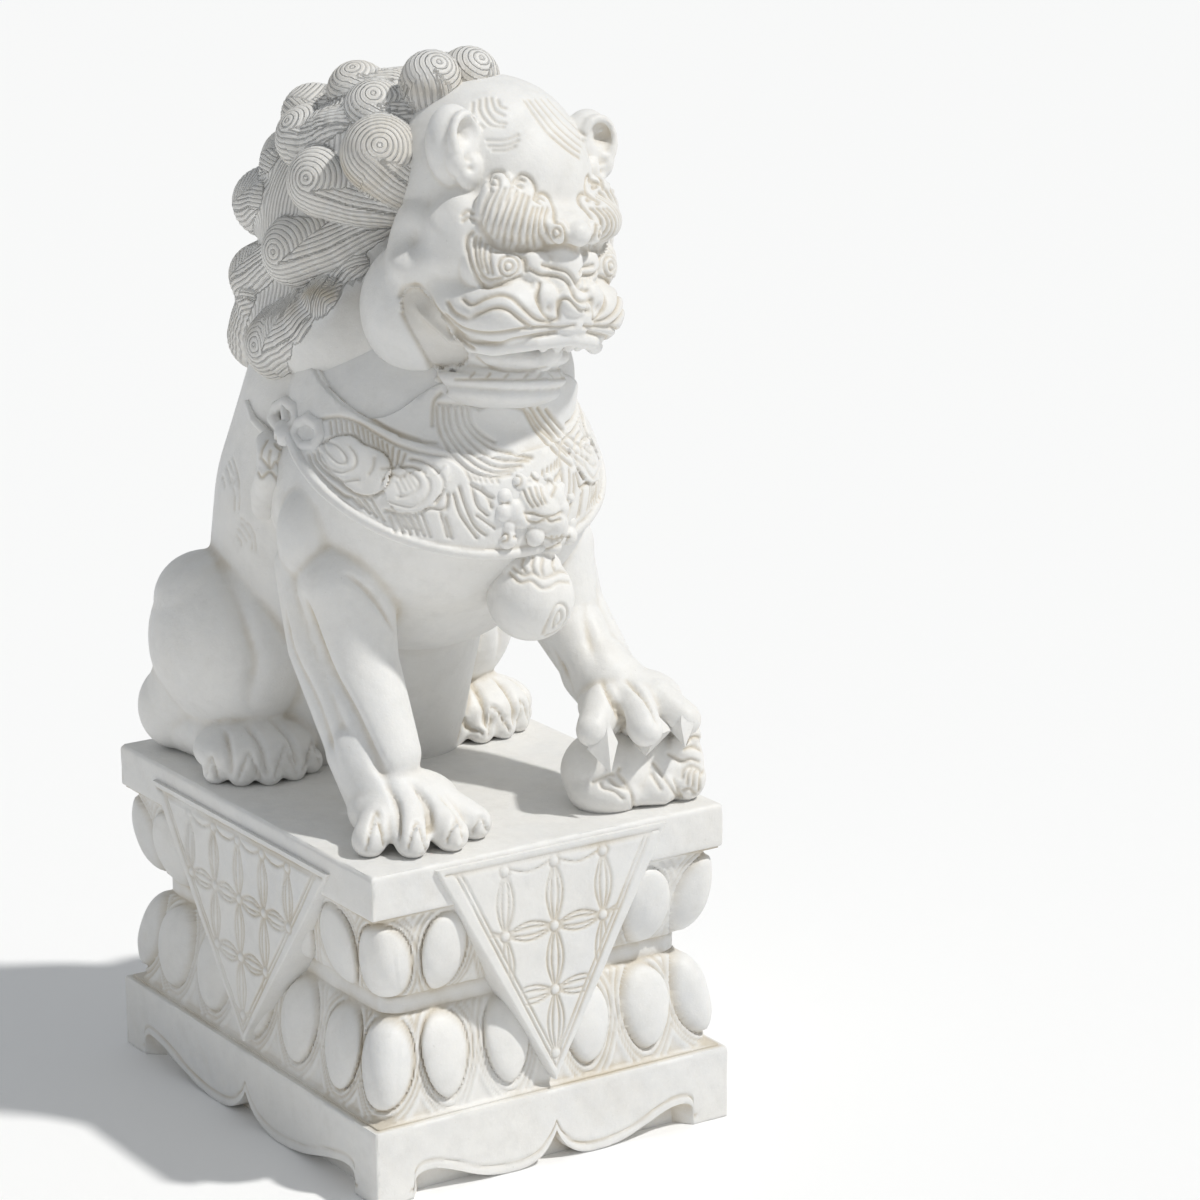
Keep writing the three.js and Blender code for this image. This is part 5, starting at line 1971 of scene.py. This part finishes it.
@dataclass
class Plinth:
    """Slab, two courses of lotus petals with a waist between them, base and apron.

    It is one closed skin: a grid of levels up the plinth and columns round it.
    """

    base_height: float = 108
    lower_height: float = 136
    waist_height: float = 25
    upper_height: float = 126
    slab_height: float = 65
    overhang: float = 4
    waist_inset: float = 45
    field_inset: float = 17
    dome: float = 14
    corner_petal: float = 43
    hang_middle: float = 0.47
    stand_middle: float = 0.55
    hang_tall: float = 0.46
    stand_tall: float = 0.43
    egg_narrow: float = 0.16
    foot: float = 55
    arch_width: float = 38
    arch_rise: float = 40
    cusp_rise: float = 45
    apron_depth: float = 25
    line_lift: float = 13
    line_width: float = 2.2
    gap: float = 3.8
    coarse_gap: float = 8.0
    arris: float = 3.0
    course_round: float = 34.0
    waist_round: float = 26.0
    seam_depth: float = 5.0
    rims: tuple = ((0.5, 4.6), (8.5, 3.0), (15.5, 2.6))

    def __post_init__(self) -> None:
        """Works the levels of the courses out."""
        self.z1 = self.base_height
        self.z2 = self.z1 + self.lower_height
        self.z3 = self.z2 + self.waist_height
        self.z4 = self.z3 + self.upper_height
        self.z5 = self.z4 + self.slab_height

    def apron_edge(self, length: float) -> tuple[Rows, Rows]:
        """Draws the apron's lower edge.

        Args:
            length: the face's length.

        Returns:
            Places from the face's middle, and the edge's height there.
        """
        end = length / 2 - self.foot
        arch = end - self.arch_width
        lobe = end * 0.28
        t = np.linspace(0, 1, 14)

        def quad(a: tuple, b: tuple, c: tuple) -> Rows:
            """Returns a quadratic curve."""
            return np.stack([(1 - t)**2 * a[i] + 2 * t * (1 - t) * b[i] + t**2 * c[i]
                             for i in (0, 1)], 1)

        def cubic(a: tuple, b: tuple, c: tuple, d: tuple) -> Rows:
            """Returns a cubic curve."""
            return np.stack([(1 - t)**3 * a[i] + 3 * t * (1 - t)**2 * b[i]
                             + 3 * t**2 * (1 - t) * c[i] + t**3 * d[i] for i in (0, 1)], 1)

        start = (arch, self.arch_rise * 0.86)
        half = np.vstack([
            quad((0, self.cusp_rise), (lobe * 0.3, 0.6), (lobe, 0.6)),
            cubic((lobe, 0.6), (lobe * 2, 0.6), (end * 0.62, self.arch_rise * 0.5), start),
            quad(start, (end, self.arch_rise), (end, self.arch_rise * 0.5)),
            [[end + 0.4, 0.0], [length / 2 + 10, 0.0]],
        ])
        order = np.argsort(half[:, 0], kind="stable")
        return half[order, 0], half[order, 1]

    def columns(self) -> list[tuple]:
        """Lists the columns round the plinth.

        Returns:
            For each its face's number, share along it, and angle round the corner or none.
        """
        out = []
        for number, face in enumerate(FACES):
            gap = self.gap if face.fine else self.coarse_gap
            count = int(face.length / gap)
            shares = list(np.linspace(-1, 1, count))
            jump = (face.length / 2 - self.foot) / (face.length / 2)
            for sign in (-1, 1):
                shares += [sign * (jump - 0.0008), sign * (jump + 0.0008)]
            out += [(number, t, None) for t in sorted(shares)]
            fine = face.fine or FACES[(number + 1) % 4].fine
            arc = 18 if fine else 8
            out += [(number, 1.0, a) for a in np.linspace(0, 90, arc + 2)[1:-1]]
        return out

    def levels(self) -> list[tuple]:
        """Lists the levels from the underside up.

        Returns:
            For each its kind, and its height, inset or share of the course.
        """
        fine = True
        out = [("under", 0.0), ("inner", 0.0), ("edge", 0.0)]
        out += [("base", t) for t in np.linspace(0.012, 1, 26 if fine else 12)]
        out += [("seam", self.z1 - 3.2), ("seam", self.z1 - 1)]
        count = 38 if fine else 18
        out += [("lower", t) for t in np.linspace(0, 1, count)]
        out += [("waist", t) for t in np.linspace(0.1, 0.9, 5)]
        out += [("upper", t) for t in np.linspace(0, 1, count - 3)]
        out += [("seam", self.z4 + 1), ("seam", self.z4 + 3.2)]
        out += [("slab", t) for t in (0.07, 0.1, 0.2, 0.4, 0.6, 0.8, 0.88, 0.93, 0.965, 0.985)]
        out += [("top", inset) for inset in (4.5, 7.5, 14, 40, 110, 200, 262)]
        return out

    def petals(self, along: Rows, corner: Rows, face: Face, t: Rows, hang: bool) -> tuple:
        """Raises the petals of a course.

        Args:
            along: place along the face in millimetres from its middle.
            corner: distance from the corner's middle, along the surface.
            face: the face.
            t: share of the course's height.
            hang: whether the petals hang from the slab or stand on the base.

        Returns:
            The height above the field in millimetres, and how strongly grime and painted shade darken it
            there.
        """
        height = self.upper_height if hang else self.lower_height
        middle = self.hang_middle if hang else self.stand_middle
        tall = height * (self.hang_tall if hang else self.stand_tall)
        wide = face.petal
        rise = (t - middle) * height
        narrow = 1 - self.egg_narrow * np.clip((-rise if hang else rise) / tall, -1, 1)
        narrow = 2 - narrow if not hang else narrow
        gap = np.full(along.shape, 99.0)
        for centre in face.petals:
            q = np.hypot((along - centre) / (wide * narrow), rise / tall)
            gap = np.minimum(gap, (q - 1) * wide)
        q = np.hypot(corner / self.corner_petal, rise / tall)
        gap = np.minimum(gap, (q - 1) * self.corner_petal)
        depth = np.clip(-gap / wide, 0, 1)
        egg = self.dome * np.sqrt(np.clip(1 - (1 - depth) ** 2, 0, 1)) ** 1.1
        out = np.where(gap < 0, egg, 0.0)
        # The rim grooves of the petals are darkened with grime and painted shade.
        cut = np.zeros(gap.shape)
        for line, deep in self.rims:
            shape = np.exp(-(((gap - line) / self.line_width) ** 2))
            out = out - deep * shape
            cut = np.maximum(cut, shape * min(1, deep / 3))
        dart = np.clip((gap - 19) / 8, 0, 1)
        return out - 3 * dart, cut

    def build(self, marble: bpy.types.Material) -> None:
        """Builds and dresses the plinth.

        Args:
            marble: the finish.
        """
        columns, levels = self.columns(), self.levels()
        number = np.array([c[0] for c in columns])
        share = np.array([c[1] for c in columns])
        angle = np.array([-1.0 if c[2] is None else math.radians(c[2]) for c in columns])
        edges = [self.apron_edge(face.length) for face in FACES]
        rows, cuts = [], []
        for kind, value in levels:
            xyz = np.zeros((len(columns), 3))
            cut = np.zeros(len(columns))
            for k, face in enumerate(FACES):
                ids = np.where(number == k)[0]
                place, mark = self.row(kind, value, face, share[ids], angle[ids], edges[k])
                xyz[ids], cut[ids] = place, mark
            rows.append(xyz)
            cuts.append(cut)
        verts = np.vstack(rows)
        wide = len(columns)
        index = np.arange(len(verts)).reshape(len(levels), wide)
        nxt = np.roll(index, -1, axis=1)
        quads = np.stack([index[:-1], nxt[:-1], nxt[1:], index[1:]], -1).reshape(-1, 4)
        faces = [tuple(q) for q in quads.tolist()]
        faces += [tuple(index[0][::-1].tolist()), tuple(index[-1].tolist())]
        obj = mesh_object("plinth", verts / 1000.0, faces)
        dress(obj, marble, np.concatenate(cuts))

    def row(self, kind: str, value: float, face: Face, share: Rows, angle: Rows,
            edge: tuple) -> tuple[Rows, Rows]:
        """Places one level's points along a face and the corner at its end.

        Args:
            kind: the part of the plinth.
            value: its height, or share of height.
            face: the face.
            share: place along the face, from -1 to 1.
            angle: angle round the corner, or less than nought on the face.
            edge: the apron's edge.

        Returns:
            Points in millimetres, and how strongly grime and painted shade darken each.
        """
        rounds = {"lower": self.course_round, "upper": self.course_round, "waist": self.waist_round}
        radius = rounds.get(kind, self.arris)
        half = face.length / 2
        on_arc = angle >= 0
        rough = share * half
        lift = np.interp(np.abs(rough), *edge)
        lift = np.where(on_arc, 0.0, lift)
        z = np.full(share.shape, 0.0)
        inset = np.full(share.shape, 0.0)
        cut = np.zeros(share.shape)
        if kind in ("under", "inner"):
            inset += self.apron_depth - self.overhang
            z = lift if kind == "inner" else z
        elif kind == "edge":
            inset -= self.overhang - 1.5
            z = lift
        elif kind == "base":
            z = lift + (self.z1 - 4 - lift) * value
            inset -= self.overhang
            gap = z - lift - self.line_lift
            line = np.exp(-((gap / self.line_width) ** 2)) * (np.abs(rough) < half - self.foot * 0.9)
            # The groove along the base is darkened with grime and painted shade.
            cut = np.where(on_arc, 0, line)
            inset = inset + 2.4 * cut + (1.5 if value >= 1 else 0)
        elif kind == "seam":
            z += value
            inset += self.seam_depth
            # The seams are darkened fully with grime and painted shade.
            cut += 1
        elif kind == "lower":
            z += self.z1 + self.lower_height * value
            inset += self.course_inset(value, 2.4)
        elif kind == "waist":
            z += self.z2 + self.waist_height * value
            inset += self.waist_inset
        elif kind == "upper":
            z += self.z3 + self.upper_height * value
            inset += self.course_inset(1 - value, 2.6)
        elif kind == "slab":
            z += self.z4 + self.slab_height * value
            worn = max(0.0, (value - 0.9) / 0.1)
            inset += 1.0 + 4.5 * worn**2 + (0.8 if value < 0.08 else 0)
        else:
            z += self.z5 - max(0.0, 7.5 - value) * 0.16
            inset += value
        inset = inset + self.wander(face, rough, z, kind)
        if kind in ("lower", "upper"):
            flat = half - inset - radius
            along = share * flat
            corner = np.where(on_arc, radius * (angle - math.pi / 4),
                              flat - np.abs(along) + radius * math.pi / 4)
            along = np.where(on_arc, 9e3, along)
            height, cut = self.petals(along, np.abs(corner), face, np.full(z.shape, value),
                                      kind == "upper")
            ends = min(1.0, min(value, 1 - value) / 0.02)
            inset = inset - np.maximum(height * ends, -4)
        flat = half - inset - radius
        x = np.where(on_arc, flat + radius * np.sin(np.maximum(angle, 0)), share * flat)
        y = np.where(on_arc, face.away - inset - radius + radius * np.cos(np.maximum(angle, 0)),
                     face.away - inset)
        return turned(x, -y, z, face.turn), cut

    def course_inset(self, t: float, power: float) -> float:
        """Shapes a course from its outer edge to the waist.

        Args:
            t: the share of the way to the waist.
            power: how late it bends in.

        Returns:
            How far it lies in from the slab's edge, in millimetres.
        """
        bend = 1 - math.sqrt(max(0.0, 1 - t**power))
        return self.field_inset - 9 * (1 - t) ** 3 + (self.waist_inset - self.field_inset) * bend

    def wander(self, face: Face, along: Rows, z: Rows, kind: str) -> Rows:
        """Roughens the hand-dressed surface.

        Args:
            face: the face.
            along: places along it.
            z: heights.
            kind: the part of the plinth.

        Returns:
            How far each place strays from true, in millimetres.
        """
        if kind in ("under", "inner", "top", "edge"):
            return np.zeros(along.shape)
        seed = face.turn * 0.37
        return (0.5 * np.sin(along / 47 + seed) * np.sin(z / 31 + seed)
                + 0.35 * np.sin(along / 17 + seed * 2) * np.sin(z / 13 + 1)
                + 0.2 * np.sin(along / 7.3 + z / 9.1 + seed))


@dataclass
class ClothPanels:
    """Four triangular cloths that hang from the slab, with an incised lattice."""

    plinth: Plinth
    proud: float = 5.0
    top_gap: float = 7.0
    tip_lift: float = 12.0
    border: float = 24.0
    line: float = 1.9
    hidden_line: float = 3.42
    depth: float = 2.4
    top: float = 21.0
    arcs: tuple = (-13, -5.5, 5.5, 13)
    hidden_arcs: tuple = (-12, 12)
    disc: float = 8.0
    thin: float = 0.012

    def lattice(self, face: Face, tall: float) -> tuple[list, list]:
        """Draws a panel's lattice.

        Args:
            face: the face that the panel hangs on.
            tall: the panel's height.

        Returns:
            Lines as lists of points, and the centres of its small discs. Points are
            across from the middle and down from the top, in millimetres.
        """
        half = face.cloth / 2
        top = self.top
        step = (tall - top - 38) / 3

        def room(down: float) -> float:
            """Returns half the width inside the border at a distance from the top."""
            return (half - self.border) * (1 - down / tall) + 3

        ledge = top - 8
        lines = [[(-half + 14, 9), (half - 14, 9)], [(-room(ledge), ledge), (room(ledge), ledge)]]
        for inner in (self.border, self.border + 8):
            edge = half - inner
            for sign in (-1, 1):
                lines.append([(sign * edge * (1 - 12 / tall), 12), (0, tall * (1 - (inner - 14) / half))])
        discs = []
        for row in range(4):
            down = top + row * step
            count = max(0, int((room(down) - 8) // face.pitch))
            discs += [(i * face.pitch, down) for i in range(-count, count + 1)]

        def lens(a: tuple, b: tuple) -> None:
            """Adds leaves of arcs from one disc to the next.

            Args:
                a: the first disc's centre.
                b: the second's.
            """
            (ax, ay), (bx, by) = a, b
            for bulge in self.arcs if face.fine else self.hidden_arcs:
                arc = []
                for t in np.linspace(0.1, 0.9, 9):
                    off = bulge * math.sin(math.pi * t)
                    vertical = abs(by - ay) > abs(bx - ax)
                    x = ax + (bx - ax) * t + (off if vertical else 0)
                    y = ay + (by - ay) * t + (0 if vertical else off)
                    if abs(x) < room(y) - 9:
                        arc.append((x, y))
                if len(arc) > 2:
                    lines.append(arc)

        for x, y in discs:
            lens((x, y), (x, y + step))
            if y > top + 1:
                lens((x, y), (x + face.pitch, y))
                lens((x - face.pitch, y), (x, y))
            elif x < max(d[0] for d in discs if d[1] == y):
                sag = [(x + face.pitch * t, y - 6 + 13 * math.sin(math.pi * t))
                       for t in np.linspace(0.08, 0.92, 9)]
                lines.append(sag)
        return lines, discs

    def panel(self, face: Face) -> tuple[Rows, list, Rows]:
        """Builds one panel.

        Args:
            face: the face that the panel hangs on.

        Returns:
            Its vertices in millimetres, its faces and how strongly grime and painted shade darken each
            vertex.
        """
        plinth = self.plinth
        top = plinth.z5 - max(face.drop, self.top_gap)
        tall = top - plinth.z1 - self.tip_lift
        fine = face.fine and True
        across = 138 if fine else 92
        line = self.line if face.fine else self.hidden_line
        down = int(across * 1.02)
        u = np.linspace(-1, 1, across + 1)
        v = np.linspace(0, 1, down + 1) ** 0.93
        uu, vv = np.meshgrid(u, v)
        half = face.cloth / 2 * np.maximum(1 - vv, self.thin)
        x = uu * half
        y = vv * tall
        lines, discs = self.lattice(face, tall)
        flat = np.stack([x.ravel(), y.ravel()], 1)
        best = np.full(x.size, 99.0)
        for points in lines:
            best = np.minimum(best, distance_to_path(flat, np.array(points, float))[0])
        relief = np.zeros(best.shape)
        for cx, cy in discs:
            ring = np.hypot(flat[:, 0] - cx, flat[:, 1] - cy)
            best = np.where(ring < self.disc + 1.5, 99, best)
            best = np.minimum(best, np.abs(ring - self.disc))
            relief += 1.2 * np.exp(-((ring / 4.5) ** 2))
        groove = np.exp(-((best / line) ** 2)).reshape(x.shape)
        arris = np.clip(1 - (half - np.abs(x)) / 3.0, 0, 1) ** 2 * 1.6
        wear = 0.35 * np.sin(x / 23 + face.turn) * np.sin(y / 19) + 0.2 * np.sin(x / 7 + y / 9)
        out = self.proud + relief.reshape(x.shape) - self.depth * groove - arris + wear
        front = np.stack([x, np.full(x.shape, face.away) + out, top - y], -1).reshape(-1, 3)
        ring = ([(0, j) for j in range(across + 1)] + [(i, across) for i in range(1, down + 1)]
                + [(down, j) for j in range(across - 1, -1, -1)] + [(i, 0) for i in range(down - 1, 0, -1)])
        index = np.arange((down + 1) * (across + 1)).reshape(down + 1, across + 1)
        loop = [int(index[i, j]) for i, j in ring]
        back = front[loop].copy()
        back[:, 1] = face.away - plinth.waist_inset - 2
        verts = np.vstack([front, back])
        verts[:, 1] *= -1
        quads = np.stack([index[:-1, :-1], index[1:, :-1], index[1:, 1:], index[:-1, 1:]], -1)
        faces = [tuple(q) for q in quads.reshape(-1, 4).tolist()]
        base = len(front)
        count = len(loop)
        for i in range(count):
            j = (i + 1) % count
            faces.append((loop[i], loop[j], base + j, base + i))
        faces.append(tuple(base + i for i in range(count)))
        spun = turned(verts[:, 0], verts[:, 1], verts[:, 2], face.turn)
        # The lattice grooves are darkened with grime and painted shade.
        return spun, faces, np.concatenate([groove.ravel(), np.zeros(count)])

    def build(self, marble: bpy.types.Material) -> None:
        """Builds all four panels as one piece and dresses it.

        Args:
            marble: the finish.
        """
        panels = [self.panel(face) for face in FACES]
        verts, faces = stacked([panel[:2] for panel in panels])
        obj = mesh_object("cloth_panels", verts / 1000.0, faces)
        dress(obj, marble, np.concatenate([panel[2] for panel in panels]))


# The setting


@dataclass
class Setting:
    """Camera, lights and floor."""

    camera_at: Point = (-2.7995, -4.7581, 2.2186)
    right: Point = (0.8357, -0.5491, -0.0067)
    up: Point = (0.1503, 0.2170, 0.9645)
    focal_px: float = 4111.3
    frame_px: float = 1200.0
    sensor_mm: float = 36.0
    sun_from: Point = (0.36, -0.42, 0.83)
    sun_strength: float = 2.35
    sun_width_deg: float = 3.0
    sky: float = 0.42
    far_m: float = 60

    def camera(self) -> None:
        """Sets the camera at the photograph's place."""
        data = bpy.data.cameras.new("camera")
        cam = bpy.data.objects.new("camera", data)
        bpy.context.scene.collection.objects.link(cam)
        right, up = Vector(self.right).normalized(), Vector(self.up).normalized()
        back = right.cross(up).normalized()
        up = back.cross(right)
        turn = Matrix((right, up, back)).transposed()
        cam.matrix_world = Matrix.Translation(Vector(self.camera_at)) @ turn.to_4x4()
        data.sensor_width = self.sensor_mm
        data.lens = self.sensor_mm * self.focal_px / self.frame_px
        data.clip_end = self.far_m
        bpy.context.scene.camera = cam

    def sun(self) -> None:
        """Adds the one high sun, which comes over the lion's left shoulder."""
        data = bpy.data.lights.new("sun", "SUN")
        data.energy = self.sun_strength
        data.angle = math.radians(self.sun_width_deg)
        data.color = (1.0, 0.985, 0.955)
        lamp = bpy.data.objects.new("sun", data)
        lamp.rotation_euler = Vector(self.sun_from).to_track_quat("Z", "Y").to_euler()
        bpy.context.scene.collection.objects.link(lamp)

    def floor(self) -> None:
        """Lays the pale floor."""
        deselect()
        bpy.ops.mesh.primitive_plane_add(size=self.far_m, location=(0, 0, 0))
        floor = bpy.context.object
        floor.name = "floor"
        mat = bpy.data.materials.new("pale_floor")
        mat.use_nodes = True
        shader = mat.node_tree.nodes["Principled BSDF"]
        shader.inputs["Base Color"].default_value = (0.95, 0.95, 0.95, 1)
        shader.inputs["Roughness"].default_value = 0.9
        floor.data.materials.append(mat)

    def build(self) -> None:
        """Sets camera, floor, lights and the pale surroundings."""
        self.camera()
        self.floor()
        world = bpy.data.worlds.new("studio")
        bpy.context.scene.world = world
        world.use_nodes = True
        back = world.node_tree.nodes["Background"]
        back.inputs["Color"].default_value = (0.93, 0.965, 1.0, 1)
        back.inputs["Strength"].default_value = self.sky
        self.sun()
        bpy.context.scene.view_settings.view_transform = "Standard"


def main() -> None:
    """Builds the lion piece by piece and sets the scene round it."""
    setting = Setting()
    setting.build()
    marble = Marble().material()
    body = Body(setting).build()
    dress(body, marble, keep=0.5)
    Harness(setting, body).build(marble)
    Cub(setting).build(marble)
    head = Head(setting)
    dress(head.build(), marble, head.cut, keep=0.66)
    Mane().build(marble)
    plinth = Plinth()
    plinth.build(marble)
    ClothPanels(plinth).build(marble)


if __name__ == "__main__":
    main()
